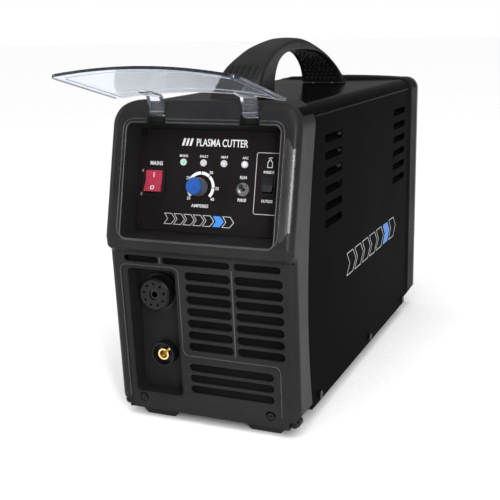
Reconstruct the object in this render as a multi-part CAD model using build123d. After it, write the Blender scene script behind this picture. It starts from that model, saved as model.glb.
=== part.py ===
from build123d import *
import math
import os

# A portable plasma cutter with a built-in air compressor, in millimetres.
# While it is drawn, X is across the case, Y runs from front to back with 0 at the foot of the
# cover's front edge, and Z is up with 0 at the cover's lower edge. write_parts() then moves
# everything so that the origin is the centre of the bounding box at floor level.

# ---- case ----
CASE_HALF = 105.0          # half the cover's width
COVER_TOP = 332.0
COVER_FRONT = -16.0        # the cover reaches this far under the front bezel
COVER_REAR = 430.0
COVER_CORNER = 14.0
SHEET = 1.5
FOOT_DROP = 17.0           # the floor is this far below the cover's edge

# ---- front bezel ----
BEZEL_HALF = 107.5
BEZEL_WALL = 3.0
BEZEL_TOP = 336.5
BEZEL_BOTTOM = -6.0
BEZEL_CORNER = 27.0
BEZEL_FOOT_CUT = 16.0          # height of the cut across each lower corner
FRONT_SCREW_XZ = [(-79.0, 7.2), (74.5, 7.2)]
CORNER_SCREW_X = 100.0         # the two screws in the cut lower corners
CORNER_SCREW_Y = -36.4
FOOT_FRONT_Y = 12.0            # the front feet's screws
FOOT_FRONT = -31.0             # the front feet reach this far forward under the bezel
FACE_BOTTOM = (-63.0, 195.0)     # (y, z) of the control face where the recess starts
FACE_TOP = (-34.0, 314.0)        # (y, z) of the control face where the recess ends
CHIN = (-54.0, 178.0)            # (y, z) of the top of the lower face
LOWER_FACE_FOOT = (-43.5, -6.0)  # (y, z) of the foot of the lower face
FACE_TILT = math.degrees(math.atan2(FACE_TOP[0] - FACE_BOTTOM[0], FACE_TOP[1] - FACE_BOTTOM[1]))
FACE_HEIGHT = math.hypot(FACE_TOP[0] - FACE_BOTTOM[0], FACE_TOP[1] - FACE_BOTTOM[1])

# ---- control recess, measured on the control face: u across, v up from its lower edge ----
RECESS_HALF = 87.0
RECESS_DEPTH = 26.0
RECESS_WALL = 2.5
PANEL_HALF = 84.0
PANEL_LOW_V = 11.2
PANEL_HIGH_V = 119.4
PANEL_THICK = 2.0
LED_V = 85.2
LED_FIRST_U = -30.5
LED_PITCH = 23.6
LED_COUNT = 4
POWER_UV = (-64.0, 63.0)
AIR_UV = (68.0, 65.0)
KNOB_UV = (-8.5, 59.5)
TOGGLE_UV = (40.7, 59.3)
KNOB_R = 9.8
KNOB_HEIGHT = 16.0
SPINDLE_R = 3.0

# ---- connector pocket ----
POCKET = (-86.5, -29.0, 15.0, 160.0)   # low x, high x, low z, high z
POCKET_BACK = -24.0                    # y of its back wall
TORCH_XZ = (-61.5, 128.0)
TORCH_FACE_Y = -41.0
TORCH_R = 18.5
EARTH_XZ = (-57.0, 57.5)
EARTH_FACE_Y = -35.0
EARTH_R = 13.8
EARTH_BORE_R = 4.5
TORCH_BORE_R = 3.5
TORCH_NECK_R = 15.0
EARTH_NECK_R = 11.0

# ---- visor ----
VISOR_HALF = 95.0
VISOR_HINGE_YZ = (-30.0, 325.0)
VISOR_ROOT_YZ = (-38.0, 341.0)
VISOR_LENGTH = 122.5
VISOR_RISE_DEG = 13.7      # the open visor points this far above the horizontal
VISOR_CROWN = 8.0
VISOR_THICK = 2.5
CLIP_X = 53.0
CLIP_WIDTH = 15.0
CLIP_REACH = 16.0          # a clip runs this far along the visor from its root
HINGE_PIN_R = 1.5
HINGE_HOLE_R = 1.56

# ---- rear frame ----
REAR_NECK_END = 446.0
REAR_END = 486.0
REAR_WALL_Y = 478.0
FAN_XZ = (0.0, 222.0)
FAN_SIZE = 120.0
FAN_DEPTH = 25.0
GLAND_XZ = (-70.0, 60.0)
AIR_XZ = (70.0, 60.0)
GLAND_BORE_R = 5.0
AIR_BORE_R = 4.0
REAR_SCREW_X = 86.0

# ---- handle ----
HANDLE_BASE_Z = 333.0
HANDLE_TOP_Z = 397.0

# ---- switches ----
ROCKER_TILT = 9.0          # a rocker at rest is turned this far, its upper end pressed in
ROCKER_PIN_R = 1.5
RUNNING_GAP = 0.05
TOGGLE_TILT = 12.0
TOGGLE_PIVOT_DEPTH = 4.0
KNOB_GAP = 3.6             # between the panel and the knob's skirt
POINTER_DEG = -48.0

# ---- cover and tray ----
COVER_SCREW_Y = (30.0, 235.0, 415.0)
COVER_SCREW_Z = 8.0
TRAY_FRONT = 3.0
TRAY_REAR = 428.0
TRAY_FLANGE = 20.0

# ---- compressor ----
MOTOR_XZ = (0.0, 62.0)
CYLINDER_Y = 249.0
HOSE_R = 4.0
HANDLE_EDGE_R = 3.0
FILTER_LOW = 17.0
FILTER_HIGH = 177.0
FILTER_MIDDLE_X = 37.0
FILTER_WIDTH = 120.0
FILTER_THICK = 4.0
REACH = 300.0                     # past every side of the case, for cutting boxes


def box(x0, x1, y0, y1, z0, z1):
    """A block between two corners."""
    middle = Location(((x0 + x1) / 2, (y0 + y1) / 2, (z0 + z1) / 2))
    return middle * Box(abs(x1 - x0), abs(y1 - y0), abs(z1 - z0))


def rod(radius, start, end):
    """A round bar from start to end."""
    a = Vector(*start)
    b = Vector(*end)
    plane = Plane(origin=a, z_dir=b - a)
    return extrude(plane * Circle(radius), (b - a).length)


def tube(outer, inner, start, end):
    """A round bar with a hole through it."""
    a = Vector(*start)
    b = Vector(*end)
    along = (b - a).normalized()
    return rod(outer, a, b) - rod(inner, a - along, b + along)


def yz_solid(points, half_width):
    """An outline in the YZ plane, pulled out to both sides."""
    face = make_face(Plane.YZ * Polyline(*points, close=True))
    return extrude(face, half_width, both=True)


def along_y(face, y0, y1):
    """A face drawn in the XZ plane, pulled out between two depths."""
    return extrude(Location((0, y0, 0)) * face, y1 - y0, dir=(0, 1, 0))


def group(solids):
    """Several separate solids in one node."""
    return Compound(children=[s for s in solids])


def one(shape):
    """The largest solid of a shape."""
    return max(shape.solids(), key=lambda s: s.volume)


# ------------------------------------------------------------------ frames of the front
def face_plane(depth=0.0):
    """The control face: x is u, y is v, z points out of the face; depth goes into the case."""
    tilt = math.radians(FACE_TILT)
    outward = Vector(0, -math.cos(tilt), math.sin(tilt))
    origin = Vector(0, FACE_BOTTOM[0], FACE_BOTTOM[1]) - outward * depth
    return Plane(origin=origin, x_dir=(1, 0, 0), z_dir=outward)


def on_panel(u, v, lift=0.0):
    """A point above the control panel, as a plane to build on."""
    return face_plane(RECESS_DEPTH - lift) * Location((u, v, 0))


def lower_face_y(z):
    """Where the lower face of the bezel is at a height."""
    share = (z - LOWER_FACE_FOOT[1]) / (CHIN[1] - LOWER_FACE_FOOT[1])
    return LOWER_FACE_FOOT[0] + share * (CHIN[0] - LOWER_FACE_FOOT[0])


def lower_plane(depth=0.0):
    """The lower face: x is X, y runs up the face from the case's bottom, z points out."""
    run = Vector(0, CHIN[0] - LOWER_FACE_FOOT[0], CHIN[1] - LOWER_FACE_FOOT[1]).normalized()
    outward = Vector(1, 0, 0).cross(run)
    origin = Vector(0, lower_face_y(0.0), 0) - outward * depth
    return Plane(origin=origin, x_dir=(1, 0, 0), z_dir=outward)


# ------------------------------------------------------------------ front bezel
def bezel_side_outline():
    """The bezel seen from the side: leaning control face, chin, lower face, curved rear edge."""
    front = Polyline((1.0, BEZEL_BOTTOM), LOWER_FACE_FOOT, CHIN, (-61.5, 183.5), FACE_BOTTOM,
                     (-30.4, 328.8), (-19.0, BEZEL_TOP), (16.5, BEZEL_TOP - 1.5))
    rear = Spline((16.5, BEZEL_TOP - 1.5), (3.0, 276.0), (-10.0, 205.0), (-15.0, 142.0),
                  (-13.0, 75.0), (1.0, BEZEL_BOTTOM))
    return make_face(Plane.YZ * Curve(children=[*front.edges(), *rear.edges()]))


def front_outline(half, top, bottom, corner, notch):
    """The bezel seen from the front: round top corners and cut lower corners."""
    outline = Polyline((-half, bottom + notch), (-half, top), (half, top), (half, bottom + notch),
                       (half - notch * 0.75, bottom), (-half + notch * 0.75, bottom), close=True)
    face = make_face(Plane.XZ * outline)
    tops = face.vertices().group_by(Axis.Z)[-1]
    return fillet(tops, corner)


def bezel_outer():
    """The bezel's outer form, with its front edges rounded."""
    side = extrude(bezel_side_outline(), BEZEL_HALF, both=True)
    outline = front_outline(BEZEL_HALF, BEZEL_TOP, BEZEL_BOTTOM, BEZEL_CORNER, BEZEL_FOOT_CUT)
    front = extrude(outline, 120, both=True)
    form = side & front
    for radius in (9.0, 7.0, 5.0, 3.0):
        edges = [e for e in form.edges() if e.center().Y < -17 and on_front_rim(e)]
        try:
            rounded = fillet(edges, radius)
            if rounded.is_valid and rounded.volume > 0.8 * form.volume:
                return rounded
        except Exception:
            continue
    return form


def on_front_rim(edge):
    """True for the edges between the bezel's front faces and its sides and top."""
    points = [edge.position_at(t) for t in (0.0, 0.5, 1.0)]
    on_side = all(abs(abs(p.X) - BEZEL_HALF) < 0.5 for p in points)
    spread = abs(points[0].Z - points[2].Z) + abs(points[0].X - points[2].X)
    high = points[1].Z > COVER_TOP - BEZEL_CORNER and abs(points[1].X) > 1
    return spread > 2 and (on_side or high)


def bezel_inner():
    """The hollow behind the bezel's walls, open at the back."""
    half = CASE_HALF + 0.25
    outline = [(60, BEZEL_BOTTOM + 3), (LOWER_FACE_FOOT[0] + 3, BEZEL_BOTTOM + 3),
               (CHIN[0] + 3.2, CHIN[1] - 1), (-57.5, 186.5), (-59.0, 195.5),
               (-28.4, 322.0), (-16.0, COVER_TOP + 0.3), (60, COVER_TOP + 0.3)]
    side = yz_solid(outline, half)
    face = front_outline(half, COVER_TOP + 0.3, BEZEL_BOTTOM + 3, BEZEL_CORNER - 4.5, BEZEL_FOOT_CUT - 2)
    return side & extrude(face, 150, both=True)


def recess_block(grow, depth):
    """The control recess's surrounding block; grow makes it larger all round than the opening."""
    sketch = RectangleRounded(2 * (RECESS_HALF + grow), FACE_HEIGHT + 2 * grow, 7 + grow)
    plane = face_plane() * Location((0, FACE_HEIGHT / 2, 0))
    return extrude(plane * sketch, -depth)


def recess_hollow():
    """The space of the control recess: sides that draw in, and a floor that slopes up to the panel."""
    middle = Location((0, FACE_HEIGHT / 2, 0))
    opening = RectangleRounded(2 * RECESS_HALF, FACE_HEIGHT, 7)
    inside = extrude((face_plane() * middle) * opening, -(RECESS_DEPTH + PANEL_THICK), taper=4.5)
    front = extrude((face_plane() * middle) * opening, 40)
    plane = face_plane()
    side = Plane(origin=plane.origin, x_dir=plane.y_dir, z_dir=plane.x_dir)
    slope = make_face(side * Polyline((-5, -1), (0, 0), (PANEL_LOW_V - 0.5, -RECESS_DEPTH - PANEL_THICK),
                                      (PANEL_LOW_V - 0.5, -40), (-5, -40), close=True))
    return inside - extrude(slope, 120, both=True) + front


def recess_window():
    """The opening in the recess's back wall, behind the panel, for the controls."""
    plane = face_plane(RECESS_DEPTH + PANEL_THICK - 1) * Location((0, 65, 0))
    return extrude(plane * RectangleRounded(152, 86, 4), -20)


def pocket_block(grow, y_front, y_back):
    """The connector pocket as a solid; grow makes it larger all round."""
    x0, x1, z0, z1 = POCKET
    width = x1 - x0 + 2 * grow
    height = z1 - z0 + 2 * grow
    plane = Plane.XZ * Location(((x0 + x1) / 2, (z0 + z1) / 2, 0))
    sketch = plane * RectangleRounded(width, height, 5 + max(grow, 0))
    return Location((0, y_back, 0)) * extrude(sketch, y_back - y_front)


def grille_slot(x0, x1, z, height):
    """One long round-ended air slot through the lower face."""
    plane = lower_plane(-8) * Location(((x0 + x1) / 2, z, 0))
    return extrude(plane * SlotOverall(x1 - x0, height), -18)


def air_slots():
    """The slot under the chin, two columns of seven slots, and three long ones below."""
    slots = []
    for x0, x1 in ((-89.0, -47.5), (-43.0, 35.5), (40.0, 92.0)):
        slots.append(grille_slot(x0, x1, 171.5, 7.5))
    for row in range(7):
        z = 156.5 - 13.3 * row
        slots.append(grille_slot(-17.0, 35.5, z, 9.6))
        slots.append(grille_slot(40.0, 94.0, z, 9.6))
    for row in range(3):
        slots.append(grille_slot(-18.5, 79.5, 51.5 - 12.9 * row, 9.2))
    return slots


def lower_step():
    """The shallow step round the connector pocket and the three long slots."""
    corners = [(-94.5, -12), (-94.5, 164.5), (-24.5, 164.5), (-24.5, 65.5), (88.0, 65.5), (88.0, -12)]
    face = make_face(Polyline(*corners, close=True))
    bends = face.vertices().filter_by(lambda v: v.Y > 0)
    face = fillet(bends, 7.0)
    return extrude(lower_plane(1.4) * face, 12)


def hinge_notch(side):
    """The dark hollow in the top edge of the control face that holds one visor hinge."""
    y, z = VISOR_HINGE_YZ
    x = side * CLIP_X
    return box(x - 10.5, x + 10.5, y - 14, y + 8.0, z - 11.5, z + 20)


def hinge_cheeks(side):
    """The two walls beside a hinge notch, which hold its pin."""
    y, z = VISOR_HINGE_YZ
    x = side * CLIP_X
    return box(x - 13.5, x + 13.5, y - 1.5, y + 11.0, z - 14.5, z + 8.0)


def filter_pad():
    """The foam dust filter behind the grille, in two strips: the grille's and the chin slot's."""
    behind = lower_plane(BEZEL_WALL + 1.5)
    middle = (FILTER_LOW + FILTER_HIGH) / 2
    tall = behind * Location((FILTER_MIDDLE_X, middle, 0)) * Rectangle(FILTER_WIDTH, FILTER_HIGH - FILTER_LOW)
    low, high = POCKET[3] + RECESS_WALL + 2, FILTER_HIGH
    left = POCKET[0]
    right = FILTER_MIDDLE_X - FILTER_WIDTH / 2 - 0.5
    wide = behind * Location(((left + right) / 2, (low + high) / 2, 0)) * Rectangle(right - left, high - low)
    return group([one(extrude(tall, -FILTER_THICK)), one(extrude(wide, -FILTER_THICK))])


def corner_lug(side):
    """The lug in one cut lower corner that holds a screw."""
    x = side * CORNER_SCREW_X
    return rod(5.2, (x, CORNER_SCREW_Y, 0), (x, CORNER_SCREW_Y + 10, 0))


def corner_recess(side):
    """The hollow for one corner screw's head, and its hole."""
    x = side * CORNER_SCREW_X
    hollow = rod(4.6, (x, -60, 0), (x, CORNER_SCREW_Y, 0))
    return hollow + rod(1.7, (x, -60, 0), (x, CORNER_SCREW_Y + 9, 0))


def recess_solid():
    """The control recess's liner before it is hollowed."""
    return recess_block(RECESS_WALL, RECESS_DEPTH + PANEL_THICK + RECESS_WALL) & outer_extended()


def pocket_solid():
    """The connector pocket's liner before it is hollowed."""
    return pocket_block(RECESS_WALL, -60, POCKET_BACK + RECESS_WALL) & outer_extended()


def hinge_notches():
    """Both hinge hollows as one cutter."""
    return hinge_notch(-1) + hinge_notch(1)


def control_recess():
    """The recess liner: four walls that draw in, and a back wall with a window for the controls."""
    liner = recess_solid() - recess_hollow() - recess_window() - hinge_notches()
    for u, v in panel_screw_points():
        liner = liner - extrude(panel_plane(u, v) * Circle(1.55), -9)
    return one(liner)


def connector_pocket():
    """The pocket liner: four walls and a back wall with the two sockets' holes."""
    liner = pocket_solid() - pocket_block(0, -80, POCKET_BACK) - lower_step()
    tx, tz = TORCH_XZ
    ex, ez = EARTH_XZ
    liner = liner - rod(TORCH_NECK_R + 0.2, (tx, -30, tz), (tx, -10, tz))
    liner = liner - rod(EARTH_NECK_R + 0.2, (ex, -30, ez), (ex, -10, ez))
    return one(liner)


def bezel_shell():
    """The moulded front: a shell with the grille, the hinge cheeks and room for the two liners."""
    shell = bezel_outer() - bezel_inner()
    for side in (-1, 1):
        shell = shell + (hinge_cheeks(side) & outer_extended()) + corner_lug(side)
    shell = shell - recess_solid() - recess_hollow() - hinge_notches()
    shell = shell - pocket_solid() - pocket_block(0, -80, POCKET_BACK) - lower_step()
    for slot in air_slots():
        shell = shell - slot
    for x, z in FRONT_SCREW_XZ:
        shell = shell - rod(5.6, (x, -60, z), (x, -41, z)) - rod(2.2, (x, -60, z), (x, -30, z))
    y, z = VISOR_HINGE_YZ
    for side in (-1, 1):
        middle = side * CLIP_X
        shell = shell - rod(HINGE_PIN_R, (middle - 12.5, y, z), (middle + 12.5, y, z))
        shell = shell - corner_recess(side)
    return shell


def front_bezel_pieces():
    """The moulded front in three pieces that meet: control frame, pocket side and grille side."""
    shell = bezel_shell()
    low, high = BEZEL_BOTTOM - 1, BEZEL_TOP + 1
    chin = CHIN[1]
    pocket_edge = POCKET[1] + RECESS_WALL
    return {
        "front_bezel": one(shell & box(-REACH, REACH, -REACH, REACH, chin, high)),
        "front_bezel_left": one(shell & box(-REACH, pocket_edge, -REACH, REACH, low, chin)),
        "front_grille": one(shell & box(pocket_edge, REACH, -REACH, REACH, low, chin)),
    }


def outer_extended():
    """The bezel's outer form carried back over its curved rear edge."""
    outline = [(60, BEZEL_BOTTOM), LOWER_FACE_FOOT, CHIN, (-61.5, 183.5), FACE_BOTTOM,
               (-30.4, 328.8), (-19.0, COVER_TOP + 0.2), (60, COVER_TOP + 0.2)]
    front = extrude(front_outline(CASE_HALF - 2.5, COVER_TOP - 2, BEZEL_BOTTOM, 12, 10.0), 150, both=True)
    return yz_solid(outline, CASE_HALF - 2.5) & front


# ------------------------------------------------------------------ control panel and controls
def rocker_window(width, height, uv):
    """The cut-out of one rocker switch in the panel."""
    return extrude(on_panel(*uv, lift=5) * Rectangle(width, height), -12)


def control_panel():
    """The printed steel plate at the back of the recess, with its cut-outs."""
    height = PANEL_HIGH_V - PANEL_LOW_V
    middle = (PANEL_HIGH_V + PANEL_LOW_V) / 2
    plate = extrude(on_panel(0, middle) * RectangleRounded(2 * PANEL_HALF, height, 3), -PANEL_THICK)
    plate = plate - rocker_window(21.6, 26.6, POWER_UV) - rocker_window(13.2, 18.8, AIR_UV)
    plate = plate - extrude(on_panel(*KNOB_UV, lift=5) * Circle(4.6), -12)
    plate = plate - extrude(on_panel(*TOGGLE_UV, lift=5) * Circle(3.1), -12)
    for i in range(LED_COUNT):
        plate = plate - extrude(on_panel(LED_FIRST_U + i * LED_PITCH, LED_V, 5) * Circle(2.7), -12)
    for u, v in panel_screw_points():
        plate = plate - extrude(on_panel(u, v, 5) * Circle(1.6), -12)
    return plate


def panel_screw_points():
    """(u, v) of the panel's four corner screws."""
    return [(-79.0, 17.0), (79.0, 17.0), (-79.0, 114.0), (79.0, 114.0)]


def pan_screw(plane, head_r, head_h, shank_r, length):
    """A cross-recessed pan-head screw standing on a plane, its head outwards."""
    head = extrude(plane * Circle(head_r), head_h)
    shank = extrude(plane * Circle(shank_r), -length)
    cross = extrude(plane.offset(head_h - 0.7) * Rectangle(head_r * 1.1, 0.7), 2)
    cross = cross + extrude(plane.offset(head_h - 0.7) * Rectangle(0.7, head_r * 1.1), 2)
    return head + shank - cross


def panel_plane(u, v, lift=0.0):
    """The plane on the panel's front at (u, v)."""
    base = face_plane(RECESS_DEPTH - lift)
    origin = base.origin + base.x_dir * u + base.y_dir * v
    return Plane(origin=origin, x_dir=base.x_dir, z_dir=base.z_dir)


def panel_screws():
    """The panel's four screws."""
    return group([pan_screw(panel_plane(u, v), 2.7, 1.6, 1.5, 7) for u, v in panel_screw_points()])


def switch_body(uv, flange, window, depth, terminals):
    """A snap-in rocker switch: flange, window, hollow for the rocker, and terminals behind."""
    plane = panel_plane(*uv)
    body = extrude(plane * RectangleRounded(flange[0], flange[1], 1.6), 1.9)
    body = body + extrude(plane * Rectangle(window[0] + 1.0, window[1] + 1.0), -depth)
    body = body - extrude(plane.offset(3) * Rectangle(window[0], window[1]), -3 - 9.5)
    reach = window[0] / 2 + 0.4
    pin = extrude(rocker_pin_plane(plane) * Circle(ROCKER_PIN_R + RUNNING_GAP), reach, both=True)
    body = body - pin
    for i in range(terminals):
        x = (i - (terminals - 1) / 2) * 6.0
        tab = extrude((plane.offset(-depth) * Location((x, 0, 0))) * Rectangle(0.8, 6.3), -8)
        body = body + tab
    return body


def rocker_pin_plane(plane):
    """The plane across a rocker's pin, which lies along X on the panel's front."""
    return Plane(origin=plane.origin, x_dir=plane.y_dir, z_dir=plane.x_dir)


def rocker_piece(uv, width, height, tilt):
    """The rocker itself: a shallow V seen from the side, with one end pressed in."""
    half = height / 2
    outline = Polyline((-half, 4.2), (0, 2.2), (half, 4.2), (half, 0.6), (half * 0.45, -3.6),
                       (-half * 0.45, -3.6), (-half, 0.6), close=True)
    face = make_face(outline)
    side = rocker_pin_plane(panel_plane(*uv))
    pin = extrude(side * Circle(ROCKER_PIN_R), width / 2 + 0.7, both=True)
    return extrude(side * Rot(0, 0, tilt) * face, width / 2, both=True) + pin


def power_switch_body():
    """The mains rocker switch without its rocker."""
    return switch_body(POWER_UV, (26.0, 31.0), (20.2, 25.2), 22.0, 2)


def power_rocker():
    """The red rocker, on: its upper end is pressed in."""
    return rocker_piece(POWER_UV, 19.4, 23.0, -ROCKER_TILT)


def air_switch_body():
    """The small rocker switch that picks the inner or an outer air supply."""
    return switch_body(AIR_UV, (15.6, 21.4), (11.8, 17.4), 17.0, 2)


def air_rocker():
    """The small black rocker."""
    return rocker_piece(AIR_UV, 11.0, 15.4, -ROCKER_TILT)


def potentiometer():
    """The current potentiometer: can, threaded bush, nut and the fixed part of its shaft."""
    plane = panel_plane(*KNOB_UV)
    can = extrude(plane.offset(-PANEL_THICK - 1.5) * Circle(11.5), -9)
    bush = extrude(plane.offset(-PANEL_THICK - 1.5) * Circle(4.4), PANEL_THICK + 4.5)
    nut = extrude(plane * RegularPolygon(6.0, 6), 1.8)
    hole = extrude(plane.offset(5) * Circle(SPINDLE_R + RUNNING_GAP), -14)
    return can + bush + nut - hole


def knob_body():
    """The current knob: a fluted skirt with its spindle."""
    plane = panel_plane(*KNOB_UV, lift=KNOB_GAP)
    body = extrude(plane * Circle(KNOB_R), KNOB_HEIGHT - KNOB_GAP, taper=2.0)
    for i in range(18):
        angle = math.radians(20 * i)
        spot = Location((math.cos(angle) * (KNOB_R + 0.7), math.sin(angle) * (KNOB_R + 0.7), 0))
        body = body - extrude((plane * spot) * Circle(1.1), KNOB_HEIGHT - 5)
    spindle = extrude(plane * Circle(SPINDLE_R), -11)
    return one(body + spindle)


def knob_cap():
    """The blue cap on the knob, with its pointer groove."""
    plane = panel_plane(*KNOB_UV, lift=KNOB_HEIGHT)
    cap = extrude(plane * Circle(KNOB_R - 0.7), 2.2, taper=14)
    pointer = math.radians(POINTER_DEG)
    groove = Location((math.cos(pointer) * 5.2, math.sin(pointer) * 5.2, 0), (0, 0, POINTER_DEG))
    return cap - extrude((plane.offset(1.7) * groove) * Rectangle(7.0, 0.9), 2)


def toggle_switch_body():
    """The air-test toggle switch: body and threaded bush."""
    plane = panel_plane(*TOGGLE_UV)
    body = extrude(plane.offset(-PANEL_THICK - 0.5) * Rectangle(13, 13), -16)
    bush = extrude(plane.offset(-PANEL_THICK - 0.5) * Circle(3.0), PANEL_THICK + 1.7)
    hollow = extrude(plane.offset(5) * Circle(2.3), -12.5)
    return body + bush - hollow


def toggle_nut():
    """The dished chrome nut round the toggle."""
    plane = panel_plane(*TOGGLE_UV)
    nut = extrude(plane * Circle(7.8), 2.6, taper=18)
    dish = extrude(plane.offset(1.2) * Circle(4.9), 3)
    return nut - dish - extrude(plane.offset(4) * Circle(3.05), -6)


def toggle_plane():
    """The toggle lever's plane at its pivot, tilted up to the lever's rest position."""
    base = panel_plane(*TOGGLE_UV, lift=-TOGGLE_PIVOT_DEPTH)
    return Plane(base.location * Location((0, 0, 0), (-TOGGLE_TILT, 0, 0)))


def toggle_lever():
    """The toggle's lever with its black round tip."""
    plane = toggle_plane()
    ball = Location(plane.origin) * Sphere(1.9)
    ball = ball + extrude(rocker_pin_plane(plane) * Circle(0.6), 2.15, both=True)
    stem = extrude(plane * Circle(0.95), 10)
    tip = extrude(plane.offset(6.2) * Circle(1.5), 6.2, taper=-6)
    dome = Location((plane.origin + plane.z_dir * 12.0)) * Sphere(2.5)
    return one(ball + stem + tip + dome)


def led_u(i):
    """Where the i-th lamp is across the panel."""
    return LED_FIRST_U + i * LED_PITCH


def led_holders():
    """The four lamp bezels: rings on the panel."""
    rings = []
    for i in range(LED_COUNT):
        plane = panel_plane(led_u(i), LED_V)
        ring = extrude(plane * Circle(3.6), 1.2) + extrude(plane * Circle(2.6), -6)
        rings.append(ring - extrude(plane.offset(2) * Circle(2.1), -9))
    return group(rings)


def led_lamp(i):
    """One lamp: a domed cylinder with a flange and two wires behind it."""
    plane = panel_plane(led_u(i), LED_V)
    lamp = extrude(plane.offset(-6) * Circle(2.05), 6.6)
    dome = Location(plane.origin + plane.z_dir * 0.6) * Sphere(2.0)
    flange = extrude(plane.offset(-7.2) * Circle(2.5), 1.15)
    legs = extrude((plane.offset(-7.2) * Location((1.2, 0, 0))) * Circle(0.3), -7.0)
    legs2 = extrude((plane.offset(-7.2) * Location((-1.2, 0, 0))) * Circle(0.3), -7.0)
    return one(lamp + dome + flange + legs + legs2)


def lamps():
    """The four lamps."""
    return group([led_lamp(i) for i in range(LED_COUNT)])


def control_board():
    """The control circuit board behind the panel, with its chips and spacers."""
    plane = panel_plane(-3, 63, lift=-24.5)
    board = extrude(plane * Rectangle(108, 92), -1.6)
    chips = ((-30, 26, 20, 12, 4), (5, -20, 26, 10, 6), (30, 22, 14, 14, 8), (-34, -18, 16, 20, 10))
    for u, v, w, h, t in chips:
        board = board + extrude((plane.offset(-1.6) * Location((u, v, 0))) * Rectangle(w, h), -t)
    return board - extrude((plane.offset(1) * Location((44, -4, 0))) * Rectangle(20, 20), -4)


# ------------------------------------------------------------------ sockets
def torch_socket_flange():
    """The square flange of the torch socket, screwed to the pocket's back wall."""
    x, z = TORCH_XZ
    plane = Plane(origin=(x, POCKET_BACK, z), x_dir=(1, 0, 0), z_dir=(0, -1, 0))
    flange = extrude(plane * Circle(21.5), 4.0)
    flange = flange - extrude(plane.offset(-1) * Circle(TORCH_R - 1.0), 7)
    return flange


def torch_plane(y):
    """A plane across the torch socket's axis, facing forwards."""
    x, z = TORCH_XZ
    return Plane(origin=(x, y, z), x_dir=(1, 0, 0), z_dir=(0, -1, 0))


def torch_socket_body():
    """The torch socket's insulating body, with its central gas and power way and signal holes."""
    depth = POCKET_BACK - TORCH_FACE_Y
    body = extrude(torch_plane(POCKET_BACK) * Circle(TORCH_R - 1.05), 6)
    body = body + extrude(torch_plane(POCKET_BACK - 6) * Circle(TORCH_R), depth - 6)
    edge = body.edges().filter_by(GeomType.CIRCLE).group_by(Axis.Y)[0].sort_by(lambda e: e.radius)[-1]
    body = chamfer(edge, 2.0)
    body = body + extrude(torch_plane(POCKET_BACK) * Circle(TORCH_NECK_R), -22)
    body = body - extrude(torch_plane(TORCH_FACE_Y - 1) * Circle(6.0), -60)
    for i in range(9):
        angle = math.radians(40 * i + 10)
        spot = Location((math.cos(angle) * 12.4, math.sin(angle) * 12.4, 0))
        body = body - extrude((torch_plane(TORCH_FACE_Y - 1) * spot) * Circle(1.5), -16)
    return body


def torch_socket_core():
    """The brass core: the gas and power way of the torch socket, with its rear spigot."""
    core = extrude(torch_plane(TORCH_FACE_Y + 2) * Circle(5.95), -44)
    return core - extrude(torch_plane(TORCH_FACE_Y) * Circle(TORCH_BORE_R), -60)


def earth_plane(y):
    """A plane across the earth socket's axis, facing forwards."""
    x, z = EARTH_XZ
    return Plane(origin=(x, y, z), x_dir=(1, 0, 0), z_dir=(0, -1, 0))


def earth_socket_body():
    """The earth socket's insulating shell, with the gap that takes the plug's skirt."""
    depth = POCKET_BACK - EARTH_FACE_Y
    body = extrude(earth_plane(POCKET_BACK) * Circle(EARTH_R), depth)
    body = body + extrude(earth_plane(POCKET_BACK) * Circle(EARTH_NECK_R), -16)
    body = body - extrude(earth_plane(EARTH_FACE_Y - 1) * Circle(EARTH_R - 1.6), -(depth - 2))
    body = body - extrude(earth_plane(EARTH_FACE_Y - 1) * Circle(6.6), -60)
    return body


def earth_socket_insert():
    """The brass insert that takes the plug's pin, with its key slot and rear stud."""
    insert = extrude(earth_plane(EARTH_FACE_Y + 1.5) * Circle(6.5), -30)
    insert = insert - extrude(earth_plane(EARTH_FACE_Y) * Circle(EARTH_BORE_R), -24)
    key = Location((3.2, 3.2, 0), (0, 0, 45)) * Rectangle(5, 2.6)
    return insert - extrude(earth_plane(EARTH_FACE_Y) * key, -9)


# ------------------------------------------------------------------ visor
def visor():
    """The clear flap over the controls: a crowned sheet with a rim and two hinge clips."""
    radius = (VISOR_HALF ** 2 + VISOR_CROWN ** 2) / (2 * VISOR_CROWN)
    rise = math.radians(VISOR_RISE_DEG)
    along = Vector(0, -math.cos(rise), math.sin(rise))
    root = Vector(0, *VISOR_ROOT_YZ)
    section = Plane(origin=root, x_dir=(1, 0, 0), z_dir=along)
    sign = 1 if section.y_dir.Z > 0 else -1
    ends = [(-VISOR_HALF, 0), (VISOR_HALF, 0)]
    top = RadiusArc(ends[0], ends[1], sign * radius)
    crown = top.position_at(0.5).Y
    if crown * sign < 0:
        top = RadiusArc(ends[0], ends[1], -sign * radius)
    low = -sign * VISOR_THICK
    bottom = Polyline(ends[1], (VISOR_HALF, low), (VISOR_HALF - 0.01, low))
    lower_arc = ThreePointArc((VISOR_HALF - 0.01, low), (0, sign * VISOR_CROWN + low),
                              (-VISOR_HALF, low))
    close = Line((-VISOR_HALF, low), ends[0])
    face = make_face(Curve(children=[*top.edges(), *bottom.edges(), *lower_arc.edges(), *close.edges()]))
    sheet = extrude(section * face, VISOR_LENGTH)
    corners = extrude(visor_plan(), 60, both=True)
    shape = one(sheet & corners)
    for side in (-1, 1):
        shape = shape + visor_clip(side)
    return one(shape)


def visor_plan():
    """The visor's outline seen square on: a rectangle with round corners."""
    rise = math.radians(VISOR_RISE_DEG)
    along = Vector(0, -math.cos(rise), math.sin(rise))
    up = Vector(0, math.sin(rise), math.cos(rise))
    middle = Vector(0, *VISOR_ROOT_YZ) + along * (VISOR_LENGTH / 2)
    plane = Plane(origin=middle, x_dir=(1, 0, 0), z_dir=up)
    return plane * RectangleRounded(2 * VISOR_HALF, VISOR_LENGTH, 7)


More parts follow.
